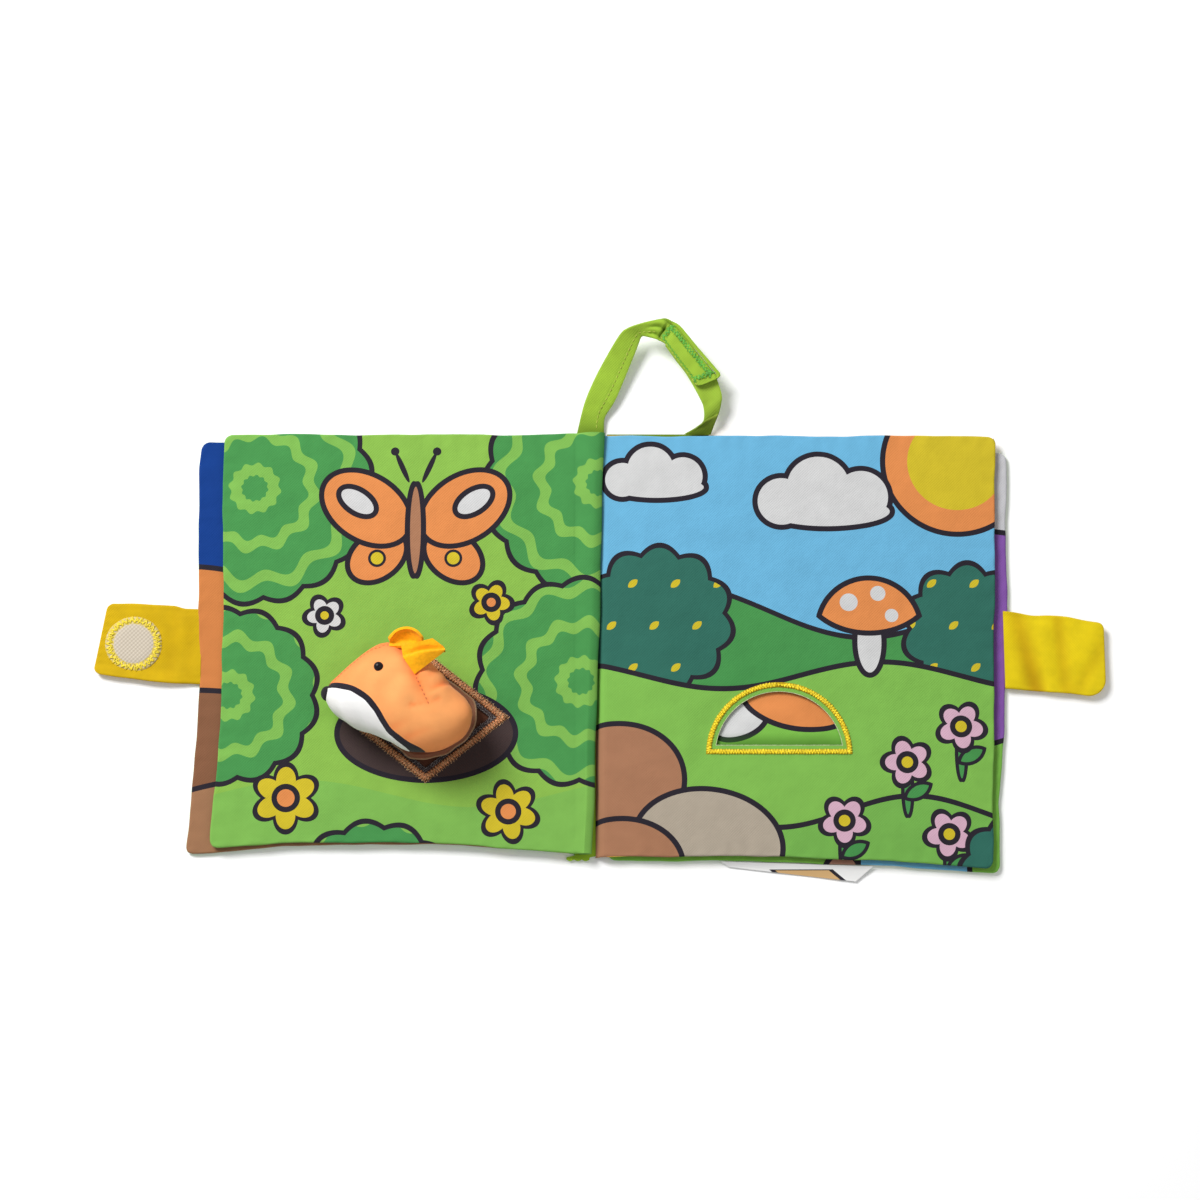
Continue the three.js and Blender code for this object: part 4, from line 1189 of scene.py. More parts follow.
def diamond_loop(inset, height, steps=24):
    share = 1 - inset / DIAMOND_INRADIUS
    corners = [(DIAMOND[0], 0), (0, DIAMOND[1]), (-DIAMOND[0], 0), (0, -DIAMOND[1])]
    return loop_line([(PUPPET.x + share * x, PUPPET.y + share * y, height) for x, y in corners], steps)


def moon_loop(inset, height, steps=64):
    x0, y0, radius = MOON
    reach = radius - inset
    rise = math.asin(inset / reach)
    arc = [rise + (math.pi - 2 * rise) * k / steps for k in range(steps + 1)]
    line = [(x0 + reach * math.cos(a), y0 + reach * math.sin(a), height) for a in arc]
    flat = [(x0 + reach * math.cos(rise) * (2 * k / 24 - 1), y0 + inset, height) for k in range(1, 24)]
    return line + flat


def surface(top):
    """The height of a page's face over any point of its plan."""
    points = top.reshape(-1, 3)

    def height(x, y):
        away = np.hypot(points[:, 0] - x, points[:, 1] - y)
        near = np.argpartition(away, 4)[:4]
        weight = 1 / (away[near] + 0.02)
        return float(points[near, 2] @ weight / weight.sum())
    return height


def rim(name, body, node, page, loop, band, inner, cloth, edge_cloth, band_thread, seed):
    """A window's edge: a satin-stitched band sewn over the page, and the cut edge inside it.

    Profiles are pairs of the distance in from the window's outline and the height.
    """
    height = surface(page)

    def over(inset, rise):
        return [(x, y, height(x, y) + rise) for x, y, _ in loop(inset, 0)]

    crown = [(0.0, -0.05), (0.25, 0.26), (0.8, 0.42), (band / 2, 0.48), (band - 0.8, 0.42),
             (band - 0.25, 0.26), (band, -0.05)]
    under = [(band, 4.1), (band - 0.5, 3.75), (0.5, 3.75), (0.0, 4.1)]
    base = swept(name + "_band", [over(d, z) for d, z in crown] + [loop(d, z) for d, z in under], cloth)
    fold = [(band - 0.3, -0.1), (band + 0.3, -0.02), (inner - 0.25, -0.14), (inner, -0.5)]
    under = [(inner - 0.1, 4.3), (inner - 0.8, 3.9), (band - 0.3, 3.95)]
    loops = [over(d, z) for d, z in fold] + [loop(d, z) for d, z in under]
    cut = swept(name + "_cut_edge", loops, edge_cloth)
    row = stitches(name + "_stitches", closed(over(band / 2, 0.4)), band_thread, 0.62, band * 1.05, 0.5,
                   0.55, swing=9, uneven=0.22, seed=seed)
    made = [base, cut, row]
    if name == "diamond":
        # The pale copper strands over the band are loose fuzz and also painted highlights on its satin
        # stitches; the grey ones are frayed threads.
        for inset, turn, number, yarn in (
            (band + 0.5, 80, 1, FRAY), (inner - 0.4, 60, 2, FRAY), (0.0, 70, 3, COPPER_FUZZ_AND_GLINT),
            (0.6 * band, 75, 4, COPPER_FUZZ_AND_GLINT), (0.3 * band, 75, 5, COPPER_FUZZ_AND_GLINT),
        ):
            line = closed(over(inset, 0.02 if yarn is FRAY else 0.12 + 0.62 * (inset > 0)))
            made.append(stitches(f"diamond_fray_{number}", line, yarn, 0.8, 1.5, 0.17, 0.17, turn=turn,
                                 swing=30, uneven=0.6, seed=seed + number))
    else:
        line = closed(over(inner - 0.05, -0.2))
        made.append(stitches("moon_pale_edge", line, PALE_FRAY, 0.6, 0.9, 0.34, 0.3, turn=0, swing=6,
                             uneven=0.25, seed=seed + 1))
    for part in made:
        fasten(part, body, node)


rim("diamond", "first_leaf", "diamond_hole_rim", first_top, diamond_loop, 3.3, 5.3,
    plain_cloth("copper_band", ink("7a4a2c")), plain_cloth("diamond_cut_edge", ink("463a3a")),
    COPPER_THREAD, 3)
rim("moon", "second_leaf", "half_moon_rim", second_top, moon_loop, 2.4, 4.2,
    plain_cloth("yellow_band", ink("c9a818")), SECOND_LEAF_CLOTH, YELLOW_THREAD, 4)


# Finger hole and puppet

def circle(x, y, radius, height, steps=96):
    """Points round a circle, the first one not repeated at the end."""
    turn = [math.tau * k / steps for k in range(steps)]
    return [(x + radius * math.cos(a), y + radius * math.sin(a), height) for a in turn]


def finger_ring():
    """The stitched ring round the finger hole."""
    profile = [(14.9, 3.5), (15.0, 4.1), (15.7, 4.35), (16.4, 4.1), (16.5, 3.5)]
    base = swept("finger_hole_band", [circle(PUPPET.x, PUPPET.y, r, z) for r, z in profile],
                 plain_cloth("brown_band", ink("8a5636")))
    row = stitches("finger_hole_stitches", closed(circle(PUPPET.x, PUPPET.y, 15.7, 4.3)), COPPER_THREAD,
                   0.7, 1.7, 0.7, 0.5, seed=6)
    for made in (base, row):
        fasten(made, "front_cover", "finger_hole_ring")


# How far the neck leans out at each turn round it
SLEEVE_FLARE = (np.radians((0, 6, 20, 45, 90, 180, 220, 249, 272, 297, 318, 339, 353, 360)),
                (4.5, 4.4, 3.2, 0.4, -1.2, -1.0, 0.4, 1.6, 1.2, 0.8, 1.9, 3.2, 4.2, 4.5))
NECK_SIDES = 96
NECK_EDGE_RING = 38


def sleeve():
    """The puppet's neck: a soft tube from the hole in the cover up to the head."""
    turn = np.linspace(0, math.tau, NECK_SIDES + 1)[:-1]
    rows = []
    route = [(14.4, 0.25), (14.3, 1.6), (14.45, 3.2), (15.3, 4.6), (16.4, 6.2), (17.6, 8.0), (18.4, 9.6),
             (18.2, 10.4), (17.2, 10.5), (15.8, 9.6), (13.6, 9.4)]
    for radius, height in catmull(route, 54):
        loose = smooth((min(height, 9.0) - 4.6) / 3.6)
        folds = 0.3 * np.sin(9 * turn + height / 2) + 0.2 * np.sin(14 * turn - height / 3 + 1)
        r = radius + loose * (folds + np.interp(turn, *SLEEVE_FLARE))
        rows.append(np.stack([PUPPET.x + r * np.cos(turn), PUPPET.y + r * np.sin(turn),
                              np.full(NECK_SIDES, height)], axis=1))
    outer = np.array(rows)
    inner = outer.copy()
    centre = np.array([PUPPET.x, PUPPET.y])
    inner[:, :, :2] = centre + (outer[:, :, :2] - centre) * 0.955
    tube = swept("puppet_neck", [*outer, *inner[::-1]], BROWN_CLOTH, sharp=60)
    edge = [(x, y, z + 0.1) for x, y, z in outer[NECK_EDGE_RING]]
    row = stitches("puppet_neck_edge", closed(edge), SLEEVE_EDGE, 0.7, 1.1, 0.9, 0.6, turn=0, swing=8,
                   seed=8)
    for made in (tube, row):
        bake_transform(made)
        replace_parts(made, "puppet_sleeve")


# The head's outline in plan on both sides of its length, from its back to its snout, and its chin's seam
HEAD_ABOVE = [(-51.4, -34.0), (-51.9, -30.8), (-53.9, -27.4), (-57.0, -24.6), (-60.4, -21.6), (-62.7, -18.7),
              (-65.2, -15.2), (-70.6, -9.9), (-78.3, -4.2), (-85.4, -1.4), (-91.6, -1.8), (-98.9, -5.6),
              (-106.4, -11.4), (-113.6, -18.0), (-116.5, -22.8)]
HEAD_BELOW = [(-51.4, -34.0), (-52.8, -39.7), (-56.9, -45.0), (-63.5, -48.9), (-70.4, -50.4), (-78.4, -49.7),
              (-85.4, -46.6), (-92.2, -43.2), (-98.6, -40.9), (-104.6, -38.2), (-109.6, -34.8),
              (-113.6, -30.8), (-116.1, -26.6), (-116.5, -22.8)]
CHIN_LINE = [(-125, -20.6), (-112.8, -22.1), (-104.6, -24.6), (-98.2, -28.8), (-94.0, -33.9), (-91.1, -38.8),
             (-88.2, -43.0), (-84.0, -46.4), (-79.5, -49.4), (-73, -52.5), (-60, -60)]
HEAD_RUN = 1000
HEAD_RINGS = 84
HEAD_SIDES = 88


def even_run(points, count):
    """Points at even distances along a smooth curve."""
    fine = catmull(points, 600)
    gone = np.concatenate([[0], np.cumsum(np.linalg.norm(np.diff(fine, axis=0), axis=1))])
    at = np.linspace(0, gone[-1], count)
    return np.stack([np.interp(at, gone, fine[:, k]) for k in range(fine.shape[1])], axis=1)


def head_points():
    """The head's rings from its back to its snout, before the darts: shares, turns and points."""
    share = (1 - np.cos(np.linspace(0.04, 1, HEAD_RINGS) * math.pi)) / 2
    share[-1] = 0.9985
    at = share * (HEAD_RUN - 1)
    above, below = (
        np.stack([np.interp(at, np.arange(HEAD_RUN), run[:, k]) for k in (0, 1)], axis=1)
        for run in (even_run(HEAD_ABOVE, HEAD_RUN), even_run(HEAD_BELOW, HEAD_RUN))
    )
    turn = np.linspace(0, math.tau, HEAD_SIDES + 1)[:-1]
    middle = 24.6 - 8 * share ** 2
    half = 14.6 * (1 - (2 * share - 1) ** 2) ** 0.6
    across = np.sign(np.cos(turn)) * np.abs(np.cos(turn)) ** 0.92
    seamed = np.clip(np.cos(turn), 0, 1)[None] * smooth((share - 0.34) / 0.16)[:, None]
    up = np.sign(np.sin(turn)) * np.abs(np.sin(turn)) ** (0.9 + 0.5 * seamed)
    plan = (above + below)[:, None] / 2 + (above - below)[:, None] / 2 * across[None, :, None]
    height = middle[:, None] + half[:, None] * up
    points = np.concatenate([plan, height[:, :, None]], axis=2)
    return share, turn, points


def dart(points, start, end, depth, width):
    """How deep a sewn dart draws the cloth in near its line."""
    a, b = np.array(start), np.array(end)
    along = np.clip(((points[..., :2] - a) @ (b - a)) / ((b - a) @ (b - a)), 0, 1)
    away = np.linalg.norm(points[..., :2] - (a + along[..., None] * (b - a)), axis=-1)
    return depth * np.exp(-(away / width) ** 2) * (1 - 0.6 * along)


def split_head(made, side):
    """Keeps one side of the line between the head's two cloths."""
    line = np.array(CHIN_LINE)
    order = np.argsort(line[:, 1])

    def x_at(y):
        return float(np.interp(y, line[order, 1], line[order, 0]))

    mesh = bmesh.new()
    mesh.from_mesh(made.data)
    for v in mesh.verts:
        v.co.x -= x_at(v.co.y / MM) * MM
    bmesh.ops.bisect_plane(
        mesh, geom=[*mesh.verts, *mesh.edges, *mesh.faces], plane_co=(0, 0, 0), plane_no=(side, 0, 0),
        clear_inner=True,
    )
    for v in mesh.verts:
        v.co.x += x_at(v.co.y / MM) * MM
    mesh.to_mesh(made.data)
    mesh.free()
    points = np.array([v.co for v in made.data.vertices]) / MM
    fine = catmull(CHIN_LINE, 400)
    away = np.min(np.linalg.norm(points[:, None, :2] - fine[None], axis=2), axis=1)
    paint(made, "from_chin_line", away)


def head():
    """The stuffed head in its two cloths, with its darts and seams. Gives back its upper face's height."""
    share, turn, points = head_points()
    centre = points.mean(axis=1, keepdims=True)
    outward = points - centre
    outward /= np.linalg.norm(outward, axis=2, keepdims=True) + 1e-9
    upper = np.sin(turn)[None, :, None] > 0
    slack = ripples(points[..., 0] + points[..., 2], points[..., 1], 41, (13.0, 19.0, 31.0), 0.34)
    seam = np.exp(-(np.sin(turn)[None] * 7) ** 2) * (np.cos(turn)[None] > 0)
    pucker = 0.2 * np.sin(share[:, None] * 150) * seam
    move = slack + pucker - 0.2 * seam
    # Painted shade for each point: in the darts' creases and along the side seam.
    crease_shade = np.zeros(points.shape[:2])
    for start, end, depth, width in (
        ((-76.1, -17.0), (-70.2, -31.0), 1.2, 1.1), ((-76.1, -17.0), (-70.2, -31.0), 0.8, 4.0),
        ((-60.8, -19.0), (-70.6, -25.4), 1.1, 1.6), ((-78.0, -31.9), (-70.4, -30.9), 0.8, 1.0),
        ((-66.0, -28.6), (-70.4, -30.9), 0.6, 1.2), ((-82.0, -5.0), (-76.4, -17.0), 0.8, 2.2),
        ((-66.0, -13.5), (-71.5, -19.5), 0.6, 1.5), ((-88.4, -42.0), (-80.0, -38.6), 0.4, 1.6),
        ((-79.4, -45.4), (-70.0, -42.0), 0.35, 1.4),
    ):
        drawn = upper[..., 0] * dart(points, start, end, depth, width)
        move = move - drawn
        crease_shade = np.maximum(crease_shade, drawn)
    along_seam = 0.7 * np.exp(-np.abs(np.sin(turn)) * 3.2)[None] * (np.cos(turn) > 0)[None]
    crease_shade = np.maximum(crease_shade, along_seam * (share > 0.3)[:, None])
    shell = points + outward * move[..., None]
    from_hole = from_puppet(shell[..., 0], shell[..., 1])
    pocket = (1 - smooth((from_hole - 8.8) / 1.6)) * ~upper[..., 0]
    shell[..., 2] += pocket * (25.0 - 0.03 * from_hole ** 2 - shell[..., 2])
    rings = shell.reshape(-1, 3)
    faces = []
    for i in range(HEAD_RINGS - 1):
        for j in range(HEAD_SIDES):
            a, b = i * HEAD_SIDES + j, i * HEAD_SIDES + (j + 1) % HEAD_SIDES
            faces.append((a, a + HEAD_SIDES, b + HEAD_SIDES, b))
    last = (HEAD_RINGS - 1) * HEAD_SIDES
    faces += [(len(rings), j, (j + 1) % HEAD_SIDES) for j in range(HEAD_SIDES)]
    faces += [(len(rings) + 1, last + (j + 1) % HEAD_SIDES, last + j) for j in range(HEAD_SIDES)]
    for name, side, finish in (("puppet_head", 1, ORANGE_CLOTH), ("puppet_chin", -1, CHIN_CLOTH)):
        made = piece(name + "_cloth", [*rings, shell[0].mean(axis=0), shell[-1].mean(axis=0)], faces, finish)
        paint(made, "crease_shade", np.append(crease_shade.ravel(), (0, 0)))
        split_head(made, side)
        fasten(made, "puppet", name)

    above = shell[:, np.sin(turn) > 0.05]
    over = surface(above)
    rows = np.flatnonzero((share > 0.4) & (share < 0.985))
    sides = np.round(HEAD_SIDES * (0.28 + 0.75 * share[rows] ** 3) / math.tau).astype(int)
    seam_line = shell[rows, sides] + [0, -0.1, 0.12]
    dart_line = [(x, y, over(x, y) + 0.1) for x, y in catmull([(-75.6, -19.5), (-70.4, -30.6)], 24)]
    for name, line, seed in (("head_seam", seam_line, 31), ("head_dart", dart_line, 32)):
        row = stitches(name, line, ORANGE_THREAD, 1.9, 1.3, 0.45, 0.36, turn=0, uneven=0.15, seed=seed)
        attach(row, "puppet")
    return over


def felt_ear(name, node, rails):
    """A cupped felt ear through a few lines from its root to its tip."""
    runs = np.array([catmull(rail, 28) for rail in rails])
    grid = np.array([catmull(runs[:, k], 40) for k in range(runs.shape[1])])
    made = thick_sheet(name, grid, 1.3, YELLOW_FELT)
    fasten(made, "puppet", node)


def ears():
    felt_ear("far_ear", "puppet_far_ear", [
        [(-88.0, -4.0, 28.0), (-80.5, -4.6, 31.0), (-73.5, -6.0, 32.0)],
        [(-87.9, -2.6, 27.4), (-80.3, -1.6, 28.2), (-73.8, -3.8, 30.0)],
        [(-87.7, -2.0, 28.6), (-84.4, 0.4, 29.6), (-80.2, 1.4, 30.0), (-76.4, 0.2, 31.0),
         (-73.6, -2.4, 31.6)],
        [(-87.6, -1.4, 30.2), (-84.6, 1.6, 31.8), (-80.2, 2.7, 32.6), (-76.4, 1.4, 33.0),
         (-73.6, -1.4, 32.6)],
    ])
    felt_ear("near_ear", "puppet_near_ear", [
        [(-76.4, -17.9, 35.2), (-70.9, -13.9, 36.2), (-64.2, -8.9, 37.0)],
        [(-79.2, -14.0, 36.0), (-73.0, -11.2, 37.8), (-63.5, -8.1, 37.5)],
        [(-81.4, -10.6, 35.8), (-73.2, -8.5, 38.4), (-63.1, -7.4, 37.7)],
        [(-81.7, -9.5, 34.2), (-73.0, -7.5, 35.3), (-63.3, -6.8, 36.4)],
        [(-82.0, -7.6, 34.0), (-73.5, -5.4, 36.6), (-65.2, -4.9, 36.9)],
        [(-82.4, -5.2, 33.4), (-75.3, -3.9, 36.6), (-68.6, -2.3, 37.0)],
    ])


EYE = (-92.2, -14.4)


def ball(name, node, middle, radii, material):
    """A rounded button."""
    turn = np.linspace(0, math.tau, 41)[:-1]
    rise = np.linspace(-math.pi / 2 + 0.05, math.pi / 2 - 0.05, 22)
    loops = [
        [(middle[0] + radii[0] * math.cos(r) * math.cos(a), middle[1] + radii[1] * math.cos(r) * math.sin(a),
          middle[2] + radii[2] * math.sin(r)) for a in turn]
        for r in rise
    ]
    fasten(swept(name, loops, material), "puppet", node)


finger_ring()
sleeve()
over_head = head()
ears()
ball("bead_eye", "puppet_eye", (*EYE, over_head(*EYE) + 0.3), (2.1, 2.1, 1.7), BEAD)
ball("felt_nose", "puppet_nose", (-115.4, -23.6, 18.8), (2.9, 3.3, 4.0), DARK_FELT)


# Tabs

TAB_EDGE_LINES = (0, 0.15, 0.45, 1.0, 1.8)


def quad_grid(corners, corner_radii):
    """A grid over four corners: inner foot, outer foot, outer head, inner head.

    The outer two are rounded. Gives back the plan, the depth from the sewn edges, and the shares.
    """
    a, b, c, d = (np.array(p, float) for p in corners)
    long = np.linalg.norm((b + c - a - d) / 2)
    high = np.linalg.norm((c + d - a - b) / 2)
    edge = np.array(TAB_EDGE_LINES)
    last = edge[-1]
    u = np.concatenate([[0.0], np.linspace(0, long - last, 44)[1:-1], long - edge[::-1]]) / long
    v = np.concatenate([edge, np.linspace(last, high - last, 36)[1:-1], high - edge[::-1]]) / high
    u, v = np.meshgrid(u, v, indexing="ij")
    from_end = (1 - u) * long
    from_side = np.minimum(v, 1 - v) * high
    in_u, in_v = corner_pull(np.where(v > 0.5, corner_radii[1], corner_radii[0]), from_end, from_side)
    u, v = u - in_u / long, v - in_v / high * np.where(v > 0.5, 1, -1)
    u, v = u[..., None], v[..., None]
    plan = (1 - u) * (1 - v) * a + u * (1 - v) * b + u * v * c + (1 - u) * v * d
    return plan, np.minimum(from_end, from_side), u[..., 0], v[..., 0]


def tab(body, side, corners, middle, radius, seed, wrinkle, head_edge, foot_edge):
    """A yellow closure tab. What bends it is given over its shares of length and width."""
    plan, depth, u, v = quad_grid(corners, radius)
    plan[..., 1] += head_edge(u) * v + foot_edge(u) * (1 - v)
    half = 0.15 + 0.42 * np.sqrt(1 - (1 - np.clip(depth / 0.8, 0, 1)) ** 2) + 0.3 * smooth(depth / 6)
    pinch = 0.16 * np.sin(v * 58 + u * 3) * np.exp(-depth / 3.2) * smooth(depth / 1.2)
    waves = wrinkle(u, v) * (0.35 + 0.65 * smooth(depth / 4))
    slow = ripples(plan[..., 0], plan[..., 1], seed, (17.0, 26.0), 0.16)
    lift = middle(u, v) + slow
    x = plan[..., 0]
    y = plan[..., 1] + wavy(x, seed, 0.2)
    top = np.stack([x, y, lift + half + pinch + waves], axis=2)
    bottom = np.stack([x, y, lift - half + 0.5 * waves], axis=2)
    if side < 0:
        top, bottom = top[::-1], bottom[::-1]
    made = pad(body + "_cloth", top, bottom, YELLOW_CLOTH)
    # Painted shade: darker in the creases and along the rolled edges, and the whole left tab is three
    # quarters of the way into shade.
    deep = np.clip(-1.1 * wrinkle(u, v), 0, 1)
    deep = np.maximum(deep, 0.35 * np.exp(-depth / 0.5))
    if side < 0:
        deep = 0.75 + 0.25 * deep
    paint_pad(made, "shade", deep[::side])
    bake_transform(made)
    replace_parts(made, body + "_strap")


def valley(u, v, foot, head, width, depth):
    """A soft crease across a tab, from its foot edge to its head edge."""
    return -depth * np.exp(-((u - foot - (head - foot) * v) / width) ** 2)


tab(
    "left_tab", -1,
    [(-173.0, -16.2), (-220.8, -11.4), (-215.0, 20.3), (-173.0, 19.0)],
    lambda u, v: 1.5 + 1.5 * smooth(1 - v * 6) * smooth(u * 2.5), (3.4, 3.0), 13,
    lambda u, v: (valley(u, v, 0.3, 0.26, 0.06, 0.22) + valley(u, v, 0.45, 0.5, 0.05, 0.12)
                  + valley(u, v, 0.1, 0.12, 0.05, 0.16)),
    lambda u: -1.3 * (1 - smooth((u - 0.16) / 0.14)), lambda u: -1.4 * np.sin(math.pi * u),
)
tab(
    "right_tab", 1,
    [(184.2, -18.6), (228.9, -22.2), (228.5, 11.2), (183.8, 16.6)],
    lambda u, v: 2.6 + 1.1 * u - 0.3 * u ** 2, (8.4, 2.8), 17,
    lambda u, v: (valley(u, v, 0.31, 0.13, 0.1, 0.75) * (1.25 - 0.6 * v)
                  + valley(u, v, 0.6, 0.54, 0.07, 0.45) + valley(u, v, 0.47, 0.4, 0.06, -0.3)
                  + valley(u, v, 0.7, 1.12, 0.07, 0.25)),
    lambda u: 0.7 * np.exp(-((u - 0.6) / 0.25) ** 2) - 0.7 * np.exp(-((u - 0.3) / 0.12) ** 2),
    lambda u: 0.0 * u,
)


def dot(side, kind, x, y, low, up):
    """A round hook-and-loop dot. Its face is up from its low side, or down where up is below 0."""
    profile = [(0.02, 0.85), (3, 0.85), (6, 0.85), (8.9, 0.83), (9.6, 0.6), (11.4, 0.55), (12.2, 0.42),
               (12.6, 0.2), (12.7, 0.0), (0.02, 0.0)]
    loops = [circle(x, y, r, low + up * z, 72) for r, z in profile]
    if up < 0:
        loops.reverse()
    base = swept(side + "_dot_base", loops, dot_cloth(side + "_dot_mesh", x, y))
    fasten(base, side + "_tab", f"{side}_tab_{kind}_disc")


def dot_stitches(side, x, y, height):
    """The dot's zigzag border: a close row, and a looser one across it."""
    rows = [
        stitches(side + "_dot_zigzag", closed(circle(x, y, 10.7, height)), DOT_THREAD, 1.0, 3.9, 0.7, 0.6,
                 swing=22, uneven=0.22, seed=9),
        stitches(side + "_dot_cross", closed(circle(x, y, 10.5, height + 0.05)), DOT_THREAD, 1.5, 3.2, 0.6,
                 0.5, swing=46, uneven=0.3, seed=10),
    ]
    for made in rows:
        fasten(made, side + "_tab", side + "_tab_disc_stitching")


LEFT_DOT = (-203.0, 1.8)
RIGHT_DOT = (210.2, -5.4)

dot("left", "hook", *LEFT_DOT, 2.1, 1.2)
dot("right", "loop", *RIGHT_DOT, 2.6, -0.9)
dot_stitches("left", *LEFT_DOT, 2.95)
dot_stitches("right", *RIGHT_DOT, 1.55)


# Handle

# The edges of the handle's three runs, as shares of the loop's width, reach and height
LONG_OUTER = [(-0.099, 0, 0.1), (-0.046, 0.25, 0.21), (0.026, 0.452, 0.31), (0.113, 0.641, 0.45),
              (0.216, 0.831, 0.68), (0.279, 0.888, 0.83), (0.397, 0.928, 0.97), (0.531, 0.962, 1.03),
              (0.58, 0.957, 1.02), (0.64, 0.915, 0.94)]
LONG_INNER = [(0.103, 0, 0.1), (0.11, 0.134, 0.17), (0.168, 0.241, 0.25), (0.215, 0.349, 0.3),
              (0.326, 0.657, 0.45), (0.366, 0.774, 0.55), (0.389, 0.826, 0.62), (0.435, 0.817, 0.7),
              (0.484, 0.795, 0.78), (0.531, 0.768, 0.84), (0.575, 0.74, 0.84)]
PATCH_OUTER = [(0.615, 0.935, 1.04), (0.68, 0.885, 1.04), (0.798, 0.716, 1.02), (0.9, 0.577, 1.0),
               (0.99, 0.455, 0.96)]
PATCH_INNER = [(0.523, 0.805, 0.9), (0.562, 0.737, 0.94), (0.64, 0.608, 0.97), (0.719, 0.487, 0.95),
               (0.795, 0.36, 0.92)]
SHORT_OUTER = [(0.903, -0.01, 0.08), (0.934, 0.08, 0.26), (0.956, 0.136, 0.42), (0.978, 0.225, 0.58),
               (0.98, 0.33, 0.68)]
SHORT_INNER = [(0.703, -0.01, 0.1), (0.79, 0.036, 0.28), (0.845, 0.085, 0.44), (0.848, 0.2, 0.6),
               (0.81, 0.3, 0.68)]

LOOP_WIDTH = 60
LOOP_FOOT = 98.4
LOOP_REACH = 52.5
LOOP_HEIGHT = 12
STRAP_THICK = 0.9
STRAP_CELLS = 30
SHORT_CELLS = 24
LONG_STEPS = 120
TIP_STEPS = 70
SHORT_STEPS = 110


def lowered(edge, drop):
    """The points of an edge, some millimetres lower."""
    return [(x, y, z - drop / LOOP_HEIGHT) for x, y, z in edge]


def handle_run(shares, steps):
    """An edge of the strap from its points, given as shares of the loop's width, reach and height."""
    return catmull([(LOOP_WIDTH * x, LOOP_FOOT + LOOP_REACH * y, LOOP_HEIGHT * z) for x, y, z in shares],
                   steps)


def round_end(right, left, reach):
    """Rounds the two corners at the end of a strap's edges."""
    width = np.linalg.norm(left - right, axis=1)
    gone = np.linalg.norm(right - right[-1], axis=1)
    short = np.clip(1 - gone / reach, 0, 1)
    inset = (reach * (1 - np.sqrt(1 - short ** 2)) / width)[:, None] * 0.8
    return right + (left - right) * inset, left + (right - left) * inset


def strap_shares(steps, cells):
    """Shares along and across a strap, for every point of its ribbon."""
    return np.meshgrid(np.linspace(0, 1, steps + 1), np.linspace(0, 1, cells + 1), indexing="ij")


def sewn_at_spine(made, node):
    """A strap sewn in at the spine, with its place baked into its points, standing for its CAD node."""
    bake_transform(made)
    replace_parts(made, node)


def long_strap():
    """The run from the spine to the patch, with a banded edge, pleats and a hollow."""
    right = handle_run(LONG_INNER, LONG_STEPS)
    left = handle_run(LONG_OUTER, LONG_STEPS)

    def hollow(t, s):
        return np.exp(-((t - 0.885) / 0.035) ** 2 - ((s - 0.42 - 4 * (t - 0.885)) / 0.26) ** 2)

    def folds(t, s):
        root = 0.35 * np.sin(26 * t + 3 * s) * np.exp(-t * 9)
        band = 0.22 * smooth((0.3 - s) / 0.06) + 0.3 * np.exp(-((s - 0.31) / 0.03) ** 2)
        pleats = 0.7 * np.sin(s * 17 + 9 * t) * smooth((t - 0.66) * 7)
        return root + band * smooth(t * 8) * smooth((0.76 - t) * 8) + pleats - 2.3 * hollow(t, s)

    made = ribbon("handle_long", right, left, STRAP_THICK, LIME_CLOTH, STRAP_CELLS, folds)
    t, s = strap_shares(LONG_STEPS, STRAP_CELLS)
    # Painted shade: darker in the hollow, along the crease, in the pleats and on the banded edge near the
    # root.
    crease = 0.45 * np.exp(-((s - 0.355) / 0.035) ** 2) * smooth((0.76 - t) * 8)
    pleat = 0.6 * np.clip(-np.sin(s * 17 + 9 * t), 0, 1) * smooth((t - 0.7) * 7)
    root = 0.22 * smooth((0.36 - s) / 0.05) * (t < 0.2)
    paint_pad(made, "shade", np.clip(1.1 * hollow(t, s) + crease + pleat + root, 0, 1))
    sewn_at_spine(made, "handle_long_strap")
    line = between(right, left, 0.3)[4:92] + (0, 0, 0.86)
    seam = stitches("handle_long_seam", line, PALE_THREAD, 2.2, 1.5, 0.32, 0.26, turn=0, uneven=0.2, seed=12)
    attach(seam, "handle")
    return made


def tip_strap(right, left):
    """The end that closes the loop, with its hook patch, and the loop patch that it comes down on."""
    def puffs(t, s):
        ridge = 0.4 * smooth((s - 0.84) / 0.05) - 0.25 * np.exp(-((s - 0.84) / 0.03) ** 2)
        return 0.14 * np.sin(23 * t + 4 * s) * np.sin(s * math.pi) + ridge

    made = ribbon("handle_tip_cloth", right, left, STRAP_THICK, LIME_CLOTH, STRAP_CELLS, puffs)
    t, s = strap_shares(TIP_STEPS, STRAP_CELLS)
    # Painted shade along the hook patch's edge, at the strap's start and along its inner side.
    shade = 0.6 * np.exp(-((s - 0.85) / 0.022) ** 2) + 0.55 * np.exp(-t / 0.035) + 0.35 * np.exp(-s / 0.05)
    paint_pad(made, "shade", np.clip(shade, 0, 1))
    fasten(made, "handle_tip", "handle_tip_strap")
    right = handle_run(lowered(PATCH_INNER, 1.0), TIP_STEPS)[14:66]
    left = handle_run(lowered(PATCH_OUTER, 1.0), TIP_STEPS)[14:66]
    for name, drop, far, cloth, body, node in (
        ("handle_hooks", 0.0, 0.98, HOOK_TAPE, "handle_tip", "handle_hook_patch"),
        ("handle_loops", 0.9, 0.92, LIME_UNDERSIDE, "handle", "handle_loop_patch"),
    ):
        low = np.array([0, 0, -drop])
        edges = [between(right, left, share) + low for share in (0.13, far)]
        fasten(ribbon(name, *edges, 0.6, cloth, 8), body, node)
    return made


